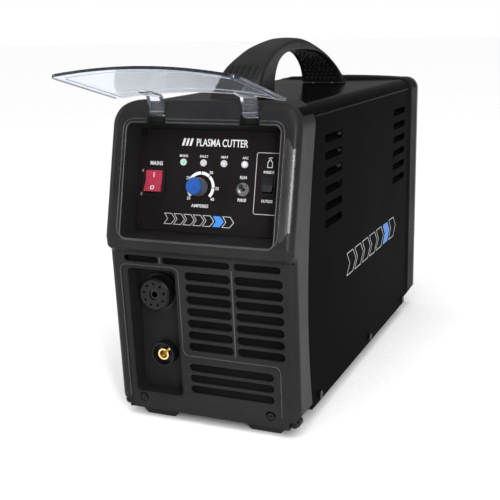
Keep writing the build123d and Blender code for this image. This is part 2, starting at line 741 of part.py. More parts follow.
def visor_clip(side):
    """One hinge clip: a curved arm from the visor down to the eye round the pin."""
    y, z = VISOR_HINGE_YZ
    ry, rz = VISOR_ROOT_YZ
    rise = math.tan(math.radians(VISOR_RISE_DEG))
    tip_y = ry - CLIP_REACH
    tip_z = rz + CLIP_REACH * rise
    arm = [(y - 3.6, z - 1.0), (y - 3.9, z + 6.0), (ry - 1.0, rz + 1.5), (tip_y, tip_z + 1.5),
           (tip_y, tip_z + 5.0), (ry - 1.0, rz + 6.0), (y - 0.2, rz + 1.0), (y + 3.6, z + 1.0)]
    face = make_face(Plane.YZ * Polyline(*arm, close=True))
    bar = extrude(face, CLIP_WIDTH / 2, both=True)
    eye = rod(4.0, (-CLIP_WIDTH / 2, y, z), (CLIP_WIDTH / 2, y, z))
    hole = rod(HINGE_HOLE_R, (-20, y, z), (20, y, z))
    return Location((side * CLIP_X, 0, 0)) * (bar + eye - hole)


def visor_hinge_pins():
    """The two steel pins that the visor turns on."""
    y, z = VISOR_HINGE_YZ
    return group([rod(HINGE_PIN_R, (s * CLIP_X - 12.4, y, z), (s * CLIP_X + 12.4, y, z)) for s in (-1, 1)])


# ------------------------------------------------------------------ cover, tray, feet
def cover_section(half, top, corner):
    """The cover's outline seen from the front, as a face with round top corners."""
    face = Plane.XZ * Location((0, top / 2, 0)) * Rectangle(2 * half, top)
    return fillet(face.vertices().group_by(Axis.Z)[-1], corner)


def louver_heights():
    """The heights of the six louvers in each column."""
    return [291.5 - 18.7 * i for i in range(6)]


def louver_columns():
    """(low y, high y) of the two columns of louvers."""
    return [(49.0, 112.0), (347.0, 413.0)]


def louver(side, y0, y1, z):
    """One louver: a round-ended slot and the lip pressed inwards under it."""
    x = side * CASE_HALF
    plane = Plane(origin=(x + side * 2, (y0 + y1) / 2, z), x_dir=(0, 1, 0), z_dir=(-side, 0, 0))
    hole = extrude(plane * SlotOverall(y1 - y0, 9.0), 6)
    lip = yz_lip(side, y0 + 3, y1 - 3, z)
    return hole, lip


def yz_lip(side, y0, y1, z):
    """The slanting lip inside a louver."""
    x = side * (CASE_HALF - SHEET)
    inner = side * (CASE_HALF - SHEET - 7.0)
    outline = [(x, z - 4.8), (x, z - 6.0), (inner, z + 3.0), (inner, z + 4.2)]
    face = make_face(Plane.XZ * Polyline(*outline, close=True))
    return along_y(face, y0, y1)


def cover_sheet():
    """The folded steel cover: two sides and a top, with louvers in both sides."""
    outer = along_y(cover_section(CASE_HALF, COVER_TOP, COVER_CORNER), COVER_FRONT, COVER_REAR)
    hollow = cover_section(CASE_HALF - SHEET, COVER_TOP - SHEET, COVER_CORNER - SHEET)
    shell = outer - along_y(hollow, COVER_FRONT - 1, COVER_REAR + 1)
    shell = shell - box(-110, 110, COVER_FRONT - 1, 3.0, -1, 12)
    for side in (-1, 1):
        for y0, y1 in louver_columns():
            for z in louver_heights():
                hole, lip = louver(side, y0, y1, z)
                shell = shell - hole + lip
        for y in COVER_SCREW_Y:
            shell = shell - rod(2.2, (side * 100, y, COVER_SCREW_Z), (side * 110, y, COVER_SCREW_Z))
    shell = shell - box(-48, 48, -20, -12.5, 300, 340)
    for x, y in handle_screw_points():
        shell = shell - rod(2.3, (x, y, 325), (x, y, 340))
    return shell


def covered_corners():
    """The bezel's form at its two top corners, where the cover stops behind it."""
    form = bezel_outer()
    low = COVER_TOP - BEZEL_CORNER
    corners = [form & box(side * 80, side * 110, COVER_FRONT - 1, 25, low, 340) for side in (-1, 1)]
    return corners[0] + corners[1]


def cover_pieces():
    """The folded cover in three pieces that meet at its bends: the top and the two sides."""
    sheet = cover_sheet() - covered_corners()
    front, rear = COVER_FRONT - 1, COVER_REAR + 1
    bend = COVER_TOP - COVER_CORNER
    return {
        "cover": one(sheet & box(-REACH, REACH, front, rear, bend, COVER_TOP + 1)),
        "cover_left": one(sheet & box(-REACH, 0, front, rear, -1, bend)),
        "cover_right": one(sheet & box(0, REACH, front, rear, -1, bend)),
    }


def base_tray():
    """The folded steel tray that carries everything, with flanges inside the cover."""
    half = CASE_HALF - SHEET - 0.2
    profile = Polyline((-half, 0), (half, 0), (half, TRAY_FLANGE), (half - SHEET, TRAY_FLANGE),
                       (half - SHEET, SHEET), (SHEET - half, SHEET), (SHEET - half, TRAY_FLANGE),
                       (-half, TRAY_FLANGE), close=True)
    tray = along_y(make_face(Plane.XZ * profile), TRAY_FRONT, TRAY_REAR)
    for side in (-1, 1):
        for y in COVER_SCREW_Y:
            tray = tray - rod(1.7, (side * 90, y, COVER_SCREW_Z), (side * 110, y, COVER_SCREW_Z))
    for x, y in foot_points():
        tray = tray - rod(2.2, (x, y, -5), (x, y, 5))
    return one(tray)


def cover_screws():
    """The six screws that hold the cover to the tray."""
    screws = []
    for side in (-1, 1):
        for y in COVER_SCREW_Y:
            plane = Plane(origin=(side * CASE_HALF, y, COVER_SCREW_Z), x_dir=(0, 1, 0), z_dir=(side, 0, 0))
            screws.append(pan_screw(plane, 4.2, 2.2, 1.65, 7))
    return screws


def foot_points():
    """(x, y) of the middle of each foot."""
    return [(x, y) for x in (-64.0, 64.0) for y in (FOOT_FRONT_Y, 412.0)]


def feet():
    """The four rubber feet, cut back at their ends."""
    pads = []
    for x, y in foot_points():
        front = FOOT_FRONT if y < FOOT_FRONT_Y + 1 else y - 25
        pad = box(x - 22, x + 22, front, y + 25, -FOOT_DROP, -0.1)
        pad = chamfer(pad.edges().filter_by(Axis.Y).group_by(Axis.Z)[0], 5.0)
        pad = pad - box(x - 30, x + 30, -60, 1.8, BEZEL_BOTTOM - 0.2, 5)
        pads.append(pad - rod(5, (x, y, -20), (x, y, -10)) - rod(2.15, (x, y, -12), (x, y, 1)))
    return group(pads)


def foot_screws():
    """The screws that hold the feet to the tray."""
    screws = []
    for x, y in foot_points():
        screws.append(rod(2.1, (x, y, -9.8), (x, y, 5)) + rod(4.2, (x, y, 1.6), (x, y, 5)))
    return group(screws)


def bezel_screws():
    """The two screws at the foot of the bezel's face, and the two in its cut corners."""
    screws = []
    for x, z in FRONT_SCREW_XZ:
        plane = Plane(origin=(x, -41.0, z), x_dir=(1, 0, 0), z_dir=(0, -1, 0))
        screws.append(pan_screw(plane, 3.9, 2.2, 2.15, 12))
    for side in (-1, 1):
        plane = Plane(origin=(side * CORNER_SCREW_X, CORNER_SCREW_Y, 0), x_dir=(1, 0, 0), z_dir=(0, -1, 0))
        screws.append(pan_screw(plane, 4.2, 4.0, 1.65, 8))
    return screws


# ------------------------------------------------------------------ rear frame
def rear_outline(half, top, bottom, corner, cut):
    """The rear frame seen from behind: crowned top, round top corners, cut lower corners."""
    outline = Curve(children=[
        *Polyline((half, top - corner), (half, bottom + cut * 1.5), (half - cut, bottom),
                  (-half + cut, bottom), (-half, bottom + cut * 1.5), (-half, top - corner)).edges(),
        *ThreePointArc((-half, top - corner), (-half + corner * 0.3, top - corner * 0.3),
                       (-half + corner, top)).edges(),
        *ThreePointArc((-half + corner, top), (0, top + 3.0), (half - corner, top)).edges(),
        *ThreePointArc((half - corner, top), (half - corner * 0.3, top - corner * 0.3),
                       (half, top - corner)).edges()])
    return make_face(Plane.XZ * outline)


def rear_bezel():
    """The moulded rear frame: a neck that meets the cover, a proud rim, and the rear wall."""
    rim = along_y(rear_outline(CASE_HALF + 1.5, 333.0, BEZEL_BOTTOM, 16, 12), REAR_NECK_END, REAR_END)
    rim_hollow = along_y(rear_outline(CASE_HALF - 2.0, 329.0, BEZEL_BOTTOM + 3.5, 14, 12), 400, REAR_END + 1)
    neck = along_y(rear_outline(CASE_HALF - 2.2, 328.0, BEZEL_BOTTOM + 7, 13, 10),
                   COVER_REAR + 0.3, REAR_NECK_END + 2)
    neck_hollow = along_y(rear_outline(CASE_HALF - 5.2, 325.0, BEZEL_BOTTOM + 10, 11, 10), 400, 460)
    web = along_y(rear_outline(CASE_HALF - 1.9, 329.2, BEZEL_BOTTOM + 3.4, 14, 12),
                  REAR_NECK_END, REAR_NECK_END + 3)
    web = web - neck_hollow
    wall = along_y(rear_outline(CASE_HALF - 1.9, 329.2, BEZEL_BOTTOM + 3.4, 14, 12),
                   REAR_WALL_Y - 3, REAR_WALL_Y)
    frame = (rim - rim_hollow) + (neck - neck_hollow) + web + wall
    fx, fz = FAN_XZ
    frame = frame - rod(FAN_SIZE / 2 - 4, (fx, 440, fz), (fx, 500, fz))
    for x, z in fan_screw_points():
        frame = frame - rod(2.2, (x, 470, z), (x, 490, z))
    gx, gz = GLAND_XZ
    ax, az = AIR_XZ
    frame = frame - rod(8.1, (gx, 470, gz), (gx, 490, gz)) - rod(6.6, (ax, 470, az), (ax, 490, az))
    for row in range(5):
        for column in (-1, 0, 1):
            slot = Plane(origin=(column * 44.0, 490, 122 - 14 * row), x_dir=(1, 0, 0), z_dir=(0, -1, 0))
            if row < 2 or column == 0:
                frame = frame - extrude(slot * SlotOverall(38, 7), 20)
    for side in (-1, 1):
        frame = frame - rod(2.2, (side * REAR_SCREW_X, 470, 8), (side * REAR_SCREW_X, 490, 8))
    return one(frame)


def fan_screw_points():
    """(x, z) of the four fan screws."""
    fx, fz = FAN_XZ
    return [(fx + sx * 52.5, fz + sz * 52.5) for sx in (-1, 1) for sz in (-1, 1)]


def fan_guard():
    """The wire guard over the fan: rings on four spokes with screw eyes."""
    fx, fz = FAN_XZ
    y = REAR_WALL_Y + 2.6
    wires = []
    for radius in (16, 28, 40, 52):
        wires.append(Location((fx, y, fz), (90, 0, 0)) * Torus(radius, 1.3))
    shape = wires[0]
    for wire in wires[1:]:
        shape = shape + wire
    for i in range(4):
        angle = math.radians(45 + 90 * i)
        start = (fx + 13 * math.cos(angle), y - 0.6, fz + 13 * math.sin(angle))
        end = (fx + 72.5 * math.cos(angle), y - 0.6, fz + 72.5 * math.sin(angle))
        shape = shape + rod(1.3, start, end)
    for x, z in fan_screw_points():
        shape = shape + rod(5.0, (x, REAR_WALL_Y + 0.2, z), (x, y + 1.3, z))
        shape = shape - rod(2.25, (x, 470, z), (x, 490, z))
    return one(shape)


def fan_frame():
    """The fan's square housing with its motor spider."""
    fx, fz = FAN_XZ
    y1 = REAR_WALL_Y - 3.2
    y0 = y1 - FAN_DEPTH
    half = FAN_SIZE / 2
    frame = box(fx - half, fx + half, y0, y1, fz - half, fz + half)
    frame = frame - rod(half - 2.5, (fx, y0 - 1, fz), (fx, y1 + 1, fz))
    hub = rod(19, (fx, y0, fz), (fx, y0 + 4, fz))
    frame = frame + hub
    for i in range(4):
        angle = math.radians(90 * i + 20)
        far = (fx + math.cos(angle) * (half - 1.5), y0 + 1.7, fz + math.sin(angle) * (half - 1.5))
        frame = frame + rod(1.6, (fx, y0 + 1.7, fz), far)
    frame = frame + rod(2.9, (fx, y0 + 3, fz), (fx, y0 + 16, fz))
    for x, z in fan_screw_points():
        frame = frame - rod(2.2, (x, y0 - 1, z), (x, y1 + 1, z))
    return one(frame)


def fan_rotor():
    """The fan's rotor: a hub on the bearing post and seven pitched blades."""
    fx, fz = FAN_XZ
    y0 = REAR_WALL_Y - 3.2 - FAN_DEPTH
    rotor = rod(20, (fx, y0 + 5.0, fz), (fx, y0 + 22, fz))
    for i in range(7):
        plane = Plane(origin=(fx, y0 + 13, fz), x_dir=(0, 1, 0),
                      z_dir=(math.cos(math.radians(360 / 7 * i)), 0, math.sin(math.radians(360 / 7 * i))))
        blade = extrude(plane.offset(18) * Rot(0, 0, 38) * Rectangle(2.0, 24), 37)
        trim = tube(55.5, 10, (fx, y0 + 5, fz), (fx, y0 + 22, fz))
        rotor = rotor + (blade & trim)
    return one(rotor - rod(2.95, (fx, y0 + 2, fz), (fx, y0 + 16.5, fz)))


def rear_screws():
    """The fan screws and the two screws at the foot of the rear wall."""
    screws = []
    for x, z in fan_screw_points():
        plane = Plane(origin=(x, REAR_WALL_Y + 4.0, z), x_dir=(1, 0, 0), z_dir=(0, 1, 0))
        screws.append(pan_screw(plane, 3.8, 2.2, 2.1, 30))
    for side in (-1, 1):
        plane = Plane(origin=(side * REAR_SCREW_X, REAR_WALL_Y, 8), x_dir=(1, 0, 0), z_dir=(0, 1, 0))
        screws.append(pan_screw(plane, 3.8, 2.2, 2.1, 20))
    return screws


def case_screws():
    """All the screws that hold the cover and the two bezels."""
    return group([*cover_screws(), *bezel_screws(), *rear_screws()])


def cable_gland():
    """The mains cable's gland: body, thread and domed cap, with a bore for the cable."""
    x, z = GLAND_XZ
    y = REAR_WALL_Y
    body = rod(8.0, (x, y - 14, z), (x, y + 0.1, z))
    flange = extrude(Plane(origin=(x, y, z), x_dir=(1, 0, 0), z_dir=(0, 1, 0)) * RegularPolygon(12.5, 6), 5)
    cap = extrude(Plane(origin=(x, y + 5, z), x_dir=(1, 0, 0), z_dir=(0, 1, 0)) * Circle(10.5), 10, taper=8)
    return body + flange + cap - rod(GLAND_BORE_R, (x, y - 20, z), (x, y + 30, z))


def air_inlet_fitting():
    """The push-in fitting for an outer air supply: hexagon, thread and release collar."""
    x, z = AIR_XZ
    y = REAR_WALL_Y
    body = rod(6.5, (x, y - 16, z), (x, y + 0.1, z))
    hexagon = extrude(Plane(origin=(x, y, z), x_dir=(1, 0, 0), z_dir=(0, 1, 0)) * RegularPolygon(9.5, 6), 7)
    collar = rod(7.2, (x, y + 7, z), (x, y + 11, z))
    hole = rod(AIR_BORE_R, (x, y - 8, z), (x, y + 20, z))
    return body + hexagon + collar - hole - rod(2.5, (x, y - 20, z), (x, y, z))


# ------------------------------------------------------------------ handle
def handle_outer_points():
    """The handle's outer line, (y, z)."""
    return [(44, HANDLE_BASE_Z), (52, 343.0), (76, 363.5), (108, 377.5), (145, 388.0), (205, HANDLE_TOP_Z),
            (255, 391.0), (300, 377.0), (340, 357.5), (366, 340.0), (374, HANDLE_BASE_Z)]


def handle_inner_points():
    """The line under the handle, (y, z)."""
    return [(121, HANDLE_BASE_Z), (125, 352.0), (140, 369.0), (168, 378.5), (210, 380.5), (262, 378.0),
            (300, 371.0), (330, 358.0), (346, 344.0), (351, HANDLE_BASE_Z)]


def handle_plan():
    """The handle seen from above: narrow at the grip and wide at its feet."""
    points = []
    for y in (40, 60, 90, 130, 170, 204, 240, 280, 320, 350, 378):
        reach = abs(y - 204) / 148
        points.append((17.5 + 11 * reach ** 2.2, y))
    right = Spline(*points)
    left = Spline(*[(-x, y) for x, y in points])
    front = Line(points[0], (-points[0][0], points[0][1]))
    back = Line(points[-1], (-points[-1][0], points[-1][1]))
    return make_face(Curve(children=[*right.edges(), *left.edges(), *front.edges(), *back.edges()]))


def handle():
    """The carrying handle: an arch that widens towards its feet."""
    outer = Spline(*handle_outer_points())
    inner = Spline(*handle_inner_points())
    feet_lines = [Line(handle_outer_points()[0], handle_inner_points()[0]),
                  Line(handle_outer_points()[-1], handle_inner_points()[-1])]
    edges = [*outer.edges(), *inner.edges(), *feet_lines[0].edges(), *feet_lines[1].edges()]
    profile = make_face(Plane.YZ * Curve(children=edges))
    arch = Location((-60, 0, 0)) * extrude(profile, 120, dir=(1, 0, 0))
    plan = Location((0, 0, 320)) * extrude(handle_plan(), 100)
    solid = arch & plan
    outer_edges = [e for e in solid.edges() if e.length > 300]
    solid = fillet(outer_edges, HANDLE_EDGE_R)
    for x, y in handle_screw_points():
        solid = solid - rod(1.8, (x, y, 330), (x, y, 341))
    return one(solid)


def handle_screw_points():
    """(x, y) of the four screws under the handle's feet."""
    return [(x, y) for x in (-14.0, 14.0) for y in (84.0, 358.5)]


def handle_screws():
    """The screws that come up through the cover into the handle's feet."""
    screws = []
    for x, y in handle_screw_points():
        head = rod(4.5, (x, y, 326.5), (x, y, COVER_TOP - SHEET - 0.2))
        screws.append(head + rod(1.75, (x, y, 327), (x, y, 340)))
    return group(screws)


# ------------------------------------------------------------------ power electronics
def shelf_plate():
    """The folded shelf between the compressor below and the inverter above."""
    shelf = box(-98, 98, 30, 424, 176, 177.5)
    for side in (-1, 1):
        leg = box(side * 98, side * 96.5, 30, 424, 150, 177.5)
        shelf = shelf + leg
    front = box(-98, 98, 30, 31.5, 1.6, 177.5) - box(-92, 92, 20, 40, 12, 168)
    return one(shelf + front)


def inverter_board():
    """The inverter's circuit board on its stand-offs."""
    board = box(-90, 90, 60, 400, 190, 191.6)
    for x in (-84, 84):
        for y in (66, 394):
            board = board + rod(3, (x, y, 177.6), (x, y, 190.5))
    return one(board)


def capacitors():
    """The four large smoothing capacitors."""
    cans = []
    for i in range(4):
        x = -70 + 36 * (i % 2)
        y = 90 + 38 * (i // 2)
        cans.append(rod(15, (x, y, 191.7), (x, y, 241)))
    return group(cans)


def heatsink(x0, y0):
    """One finned aluminium heatsink."""
    sink = box(x0, x0 + 6, y0, y0 + 130, 196, 286)
    for i in range(9):
        z = 198 + 10.4 * i
        sink = sink + box(x0 + 5, x0 + 34, y0, y0 + 130, z, z + 2.2)
    return sink


def heatsinks():
    """The two heatsinks in the fan's air stream."""
    return group([heatsink(20, 190), heatsink(-62, 190)])


def power_transistors():
    """The power transistors clamped to the heatsinks, with their legs in the board."""
    chips = []
    for x0 in (20, -62):
        for i in range(5):
            y = 200 + 24 * i
            legs = box(x0 - 3, x0 - 2, y + 4, y + 12, 191.7, 206.5)
            chips.append(box(x0 - 5.1, x0 - 0.1, y, y + 16, 206, 227) + legs)
    return group(chips)


def transformer_core():
    """The ferrite core of the main transformer: two E halves as one closed frame."""
    core = box(-85, -15, 340, 372, 192, 262)
    window = box(-74, -56, 330, 380, 204, 250) + box(-44, -26, 330, 380, 204, 250)
    return core - window


def transformer_winding():
    """The main transformer's winding round the middle leg."""
    outer = box(-73.5, -26.5, 326, 386, 205, 249)
    return outer - box(-56.3, -43.7, 339.8, 372.2, 200, 260)


def output_choke():
    """The ring-shaped output choke."""
    return Location((50, 360, 216)) * Rot(90, 0, 0) * (Cylinder(24, 26) - Cylinder(10, 30))


# ------------------------------------------------------------------ air system
def compressor_motor():
    """The compressor's motor: a ribbed can with its shaft bearing nose."""
    x, z = MOTOR_XZ
    motor = rod(34, (x, 280, z), (x, 372, z))
    for i in range(24):
        rib = box(-1.2, 1.2, 286, 366, 33, 36.5)
        motor = motor + Location((x, 0, z)) * Rot(0, 15 * i, 0) * rib
    motor = motor + rod(14, (x, 372, z), (x, 378, z))
    return one(motor - rod(6.06, (x, 270, z), (x, 330, z)))


def compressor_crankcase():
    """The crankcase in front of the motor, open at the top for the cylinder."""
    x, z = MOTOR_XZ
    case = rod(36, (x, 226, z), (x, 279.8, z))
    case = case - rod(31, (x, 230, z), (x, 275, z))
    case = case - rod(7.0, (x, 270, z), (x, 285, z))
    case = case + box(x - 34, x + 34, 226, 279.8, 20.5, 32) - rod(31, (x, 230, z), (x, 275, z))
    case = case + tube(23, 18.5, (x, CYLINDER_Y, z + 30), (x, CYLINDER_Y, z + 40))
    case = case - rod(18.5, (x, CYLINDER_Y, z + 10), (x, CYLINDER_Y, z + 45))
    return one(case)


def compressor_cylinder():
    """The finned cylinder."""
    x, z = MOTOR_XZ
    base = z + 40.1
    barrel = rod(21, (x, CYLINDER_Y, base), (x, CYLINDER_Y, base + 36))
    for i in range(6):
        barrel = barrel + rod(27, (x, CYLINDER_Y, base + 3 + 5.5 * i), (x, CYLINDER_Y, base + 5 + 5.5 * i))
    return barrel - rod(17.0, (x, CYLINDER_Y, base - 1), (x, CYLINDER_Y, base + 40))


def compressor_head():
    """The cylinder head, with its outlet stub and four bolts' bosses."""
    x, z = MOTOR_XZ
    base = z + 76.2
    head = box(x - 27, x + 27, CYLINDER_Y - 27, CYLINDER_Y + 27, base, base + 14)
    head = chamfer(head.edges().filter_by(Axis.Z), 5)
    head = head - rod(16, (x, CYLINDER_Y, base - 1), (x, CYLINDER_Y, base + 6))
    head = head + rod(5, (x - 26, CYLINDER_Y, base + 7), (x - 38, CYLINDER_Y, base + 7))
    return one(head)


def compressor_crank():
    """The motor's shaft with the crank disc, balance weight and crank pin."""
    x, z = MOTOR_XZ
    crank = rod(6.0, (x, 262, z), (x, 328, z))
    disc = rod(18, (x, 262, z), (x, 269, z))
    weight = box(x - 16, x + 16, 262, 269, z - 24, z - 4) & rod(26, (x, 262, z), (x, 269, z))
    pin = rod(4.0, (x + 8, 254, z), (x + 8, 262.5, z))
    return one(crank + disc + weight + pin)


def compressor_piston():
    """The piston with its rod; the rod's open foot stands clear of the crank pin's circle."""
    x, z = MOTOR_XZ
    base = z + 40.1
    piston = rod(16.95, (x, CYLINDER_Y, base + 10), (x, CYLINDER_Y, base + 22))
    stem = box(x - 4, x + 4, CYLINDER_Y - 4, CYLINDER_Y + 4, z + 21.5, base + 11)
    return one(piston + stem)


def compressor_mounts():
    """The four rubber mounts under the compressor."""
    mounts = []
    for x in (-26, 26):
        for y in (234, 271):
            foot = box(x - 6.5, x + 6.5, y - 6.5, y + 6.5, SHEET + 0.1, 20.3)
            mounts.append(foot - rod(3.0, (x, y, 10), (x, y, 30)))
    return group(mounts)


def solenoid_valve():
    """The solenoid air valve: body, coil and two ports."""
    body = box(40, 64, 60, 84, 40, 58)
    coil = box(38, 66, 58, 86, 58.1, 92)
    stem = rod(5, (52, 72, 55), (52, 72, 98))
    ports = rod(5, (52, 48, 49), (52, 96, 49))
    return one(body + coil + stem + ports)


def hose(points, radii):
    """A hose of 8 mm along straight runs joined by arcs."""
    path = FilletPolyline(*points, radius=radii)
    start = Vector(*points[0])
    direction = Vector(*points[1]) - start
    section = Plane(origin=start, z_dir=direction) * Circle(HOSE_R)
    return sweep(section, path=path)


def supply_hose():
    """The hose from the compressor's head to the valve."""
    x, z = MOTOR_XZ
    height = z + 83.2
    points = [(x - 38.1, CYLINDER_Y, height), (-66, CYLINDER_Y, height), (-66, 150, 110),
              (0, 120, 60), (52, 130, 49), (52, 96.1, 49)]
    return hose(points, arc_radii(points))


def arc_radii(points):
    """For each corner, 0.45 of its shorter run over the tangent of half the turn."""
    radii = []
    for a, b, c in zip(points, points[1:], points[2:]):
        before = Vector(*b) - Vector(*a)
        after = Vector(*c) - Vector(*b)
        turn = math.radians(before.get_angle(after))
        radii.append(0.45 * min(before.length, after.length) / math.tan(turn / 2))
    return radii


# ------------------------------------------------------------------ assembly
def build_parts():
    """Every node of the assembly, by name."""
    parts = {
        **front_bezel_pieces(),
        "filter_pad": filter_pad(),
        "control_recess": control_recess(),
        "connector_pocket": connector_pocket(),
        "control_panel": control_panel(),
        "panel_screws": panel_screws(),
        "power_switch_body": power_switch_body(),
        "power_rocker": power_rocker(),
        "air_switch_body": air_switch_body(),
        "air_rocker": air_rocker(),
        "potentiometer": potentiometer(),
        "knob_body": knob_body(),
        "knob_cap": knob_cap(),
        "toggle_switch_body": toggle_switch_body(),
        "toggle_nut": toggle_nut(),
        "toggle_lever": toggle_lever(),
        "led_holders": led_holders(),
        "lamps": lamps(),
        "control_board": control_board(),
        "torch_socket_flange": torch_socket_flange(),
        "torch_socket_body": torch_socket_body(),
        "torch_socket_core": torch_socket_core(),
        "earth_socket_body": earth_socket_body(),
        "earth_socket_insert": earth_socket_insert(),
        "visor": visor(),
        "visor_hinge_pins": visor_hinge_pins(),
        **cover_pieces(),
        "case_screws": case_screws(),
        "base_tray": base_tray(),
        "feet": feet(),
        "foot_screws": foot_screws(),
        "rear_bezel": rear_bezel(),
        "fan_guard": fan_guard(),
        "fan_frame": fan_frame(),
        "fan_rotor": fan_rotor(),
        "cable_gland": cable_gland(),
        "air_inlet_fitting": air_inlet_fitting(),
        "handle": handle(),
        "handle_screws": handle_screws(),
        "shelf_plate": shelf_plate(),
        "inverter_board": inverter_board(),
        "capacitors": capacitors(),
        "heatsinks": heatsinks(),
        "power_transistors": power_transistors(),
        "transformer_core": transformer_core(),
        "transformer_winding": transformer_winding(),
        "output_choke": output_choke(),
        "compressor_motor": compressor_motor(),
        "compressor_crankcase": compressor_crankcase(),
        "compressor_cylinder": compressor_cylinder(),
        "compressor_head": compressor_head(),
        "compressor_crank": compressor_crank(),
        "compressor_piston": compressor_piston(),
        "compressor_mounts": compressor_mounts(),
        "solenoid_valve": solenoid_valve(),
        "supply_hose": supply_hose(),
    }
    return parts


def row_shift(parts):
    """The move from the drawing's origin to the centre of the bounding box at floor level."""
    boxes = [p.bounding_box() for p in parts.values()]
    low_y = min(b.min.Y for b in boxes)
    high_y = max(b.max.Y for b in boxes)
    low_z = min(b.min.Z for b in boxes)
    return Vector(0, -(low_y + high_y) / 2, -low_z)


def write_parts():
    """Writes one STEP file per node and prints the shift into the part's own frame."""
    os.makedirs("parts", exist_ok=True)
    parts = build_parts()
    shift = row_shift(parts)
    print("shift", shift.X, shift.Y, shift.Z)
    for name, shape in parts.items():
        moved = Location(shift) * shape
        export_step(moved, os.path.join("parts", name + ".step"))


if __name__ == "__main__":
    write_parts()
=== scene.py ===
import math

import bmesh
import bpy
from mathutils import Matrix, Vector
from mathutils.bvhtree import BVHTree


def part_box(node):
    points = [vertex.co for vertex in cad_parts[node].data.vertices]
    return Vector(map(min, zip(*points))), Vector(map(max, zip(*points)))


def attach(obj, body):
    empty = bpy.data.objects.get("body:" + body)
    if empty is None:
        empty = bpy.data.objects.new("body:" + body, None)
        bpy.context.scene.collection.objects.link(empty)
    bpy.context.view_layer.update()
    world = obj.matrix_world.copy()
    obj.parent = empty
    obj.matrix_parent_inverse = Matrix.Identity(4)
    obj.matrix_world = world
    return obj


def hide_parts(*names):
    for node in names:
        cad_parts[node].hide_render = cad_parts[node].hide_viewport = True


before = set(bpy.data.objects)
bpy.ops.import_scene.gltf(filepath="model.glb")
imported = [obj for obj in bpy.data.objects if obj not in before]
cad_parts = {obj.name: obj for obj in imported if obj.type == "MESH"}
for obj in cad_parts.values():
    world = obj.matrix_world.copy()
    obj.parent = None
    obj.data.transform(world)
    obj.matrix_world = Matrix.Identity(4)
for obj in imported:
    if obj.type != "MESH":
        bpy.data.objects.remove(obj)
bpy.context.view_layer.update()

# ---------------------------------------------------------------- places, in millimetres of the case
# The case's own axes: x to the right, y to the back from the cover's foot, z up from the cover's edge.
COVER_FRONT = -16.0
cover_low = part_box("cover_left")[0]
SHIFT = Vector((0.0, cover_low.y * 1000 - COVER_FRONT, cover_low.z * 1000))
FACE_LOW = Vector((0.0, -63.0, 195.0))
FACE_TILT = math.atan2(29.0, 119.0)
FACE_HEIGHT = math.hypot(29.0, 119.0)
PANEL_DEPTH = 26.0
ACROSS = Vector((1.0, 0.0, 0.0))
UP_FACE = Vector((0.0, math.sin(FACE_TILT), math.cos(FACE_TILT)))
OUT_OF_FACE = Vector((0.0, -math.cos(FACE_TILT), math.sin(FACE_TILT)))
CHIN = (-54.0, 178.0)
FOOT = (-43.5, -6.0)
LOWER_UP = Vector((0.0, CHIN[0] - FOOT[0], CHIN[1] - FOOT[1])).normalized()
OUT_OF_LOWER = Vector((1.0, 0.0, 0.0)).cross(LOWER_UP)
CASE_HALF = 105.0


def at(x, y, z):
    """A point of the case, in metres of the shared frame."""
    return (Vector((x, y, z)) + SHIFT) / 1000


def on_face(u, v, lift=0.0):
    """A point on the control face: u across, v up it, lift out of it."""
    return at(*(FACE_LOW + ACROSS * u + UP_FACE * v + OUT_OF_FACE * lift))


def on_panel(u, v, lift=0.0):
    """A point on the control panel at the back of the recess."""
    return on_face(u, v, lift - PANEL_DEPTH)


def on_lower(x, z, lift=0.0):
    """A point on the bezel's lower face: x across, z up the face from the cover's edge."""
    foot = Vector((0.0, FOOT[0] + (CHIN[0] - FOOT[0]) * (-FOOT[1]) / (CHIN[1] - FOOT[1]), 0.0))
    return at(*(foot + ACROSS * x + LOWER_UP * z + OUT_OF_LOWER * lift))


def on_right(y, z, lift=0.0):
    """A point on the cover's right side, reading from front to back."""
    return at(CASE_HALF + lift, y, z)


def on_left(y, z, lift=0.0):
    """A point on the cover's left side, mirrored so that it reads from back to front."""
    return at(-CASE_HALF - lift, 500.0 - y, z)


# ---------------------------------------------------------------- materials
def nodes_of(name):
    """A new material, its node tree and its shader."""
    mat = bpy.data.materials.new(name)
    mat.use_nodes = True
    tree = mat.node_tree
    shader = tree.nodes["Principled BSDF"]
    return mat, tree, shader


def noise(tree, scale, detail=3.0, roughness=0.6):
    """Noise in the object's own space; scale is in features per metre."""
    coords = tree.nodes.new("ShaderNodeTexCoord").outputs["Object"]
    node = tree.nodes.new("ShaderNodeTexNoise")
    node.inputs["Scale"].default_value = scale
    node.inputs["Detail"].default_value = detail
    node.inputs["Roughness"].default_value = roughness
    tree.links.new(coords, node.inputs["Vector"])
    return node.outputs["Fac"]


def mapped(tree, value, low, high, new_low, new_high):
    """A value moved from one range to another."""
    node = tree.nodes.new("ShaderNodeMapRange")
    node.inputs["From Min"].default_value = low
    node.inputs["From Max"].default_value = high
    node.inputs["To Min"].default_value = new_low
    node.inputs["To Max"].default_value = new_high
    tree.links.new(value, node.inputs["Value"])
    return node.outputs["Result"]


def blended(tree, factor, first, second):
    """Two colours mixed by a factor; each is a socket or three numbers."""
    node = tree.nodes.new("ShaderNodeMix")
    node.data_type = "RGBA"
    tree.links.new(factor, node.inputs["Factor"])
    for socket, value in (("A", first), ("B", second)):
        target = [s for s in node.inputs if s.name == socket and s.type == "RGBA"][0]
        if isinstance(value, bpy.types.NodeSocket):
            tree.links.new(value, target)
        else:
            target.default_value = (*value, 1.0)
    return [s for s in node.outputs if s.type == "RGBA"][0]


def bumped(tree, shader, height, strength, distance):
    """A bump from a height, on the shader."""
    node = tree.nodes.new("ShaderNodeBump")
    node.inputs["Strength"].default_value = strength
    node.inputs["Distance"].default_value = distance
    tree.links.new(height, node.inputs["Height"])
    tree.links.new(node.outputs["Normal"], shader.inputs["Normal"])


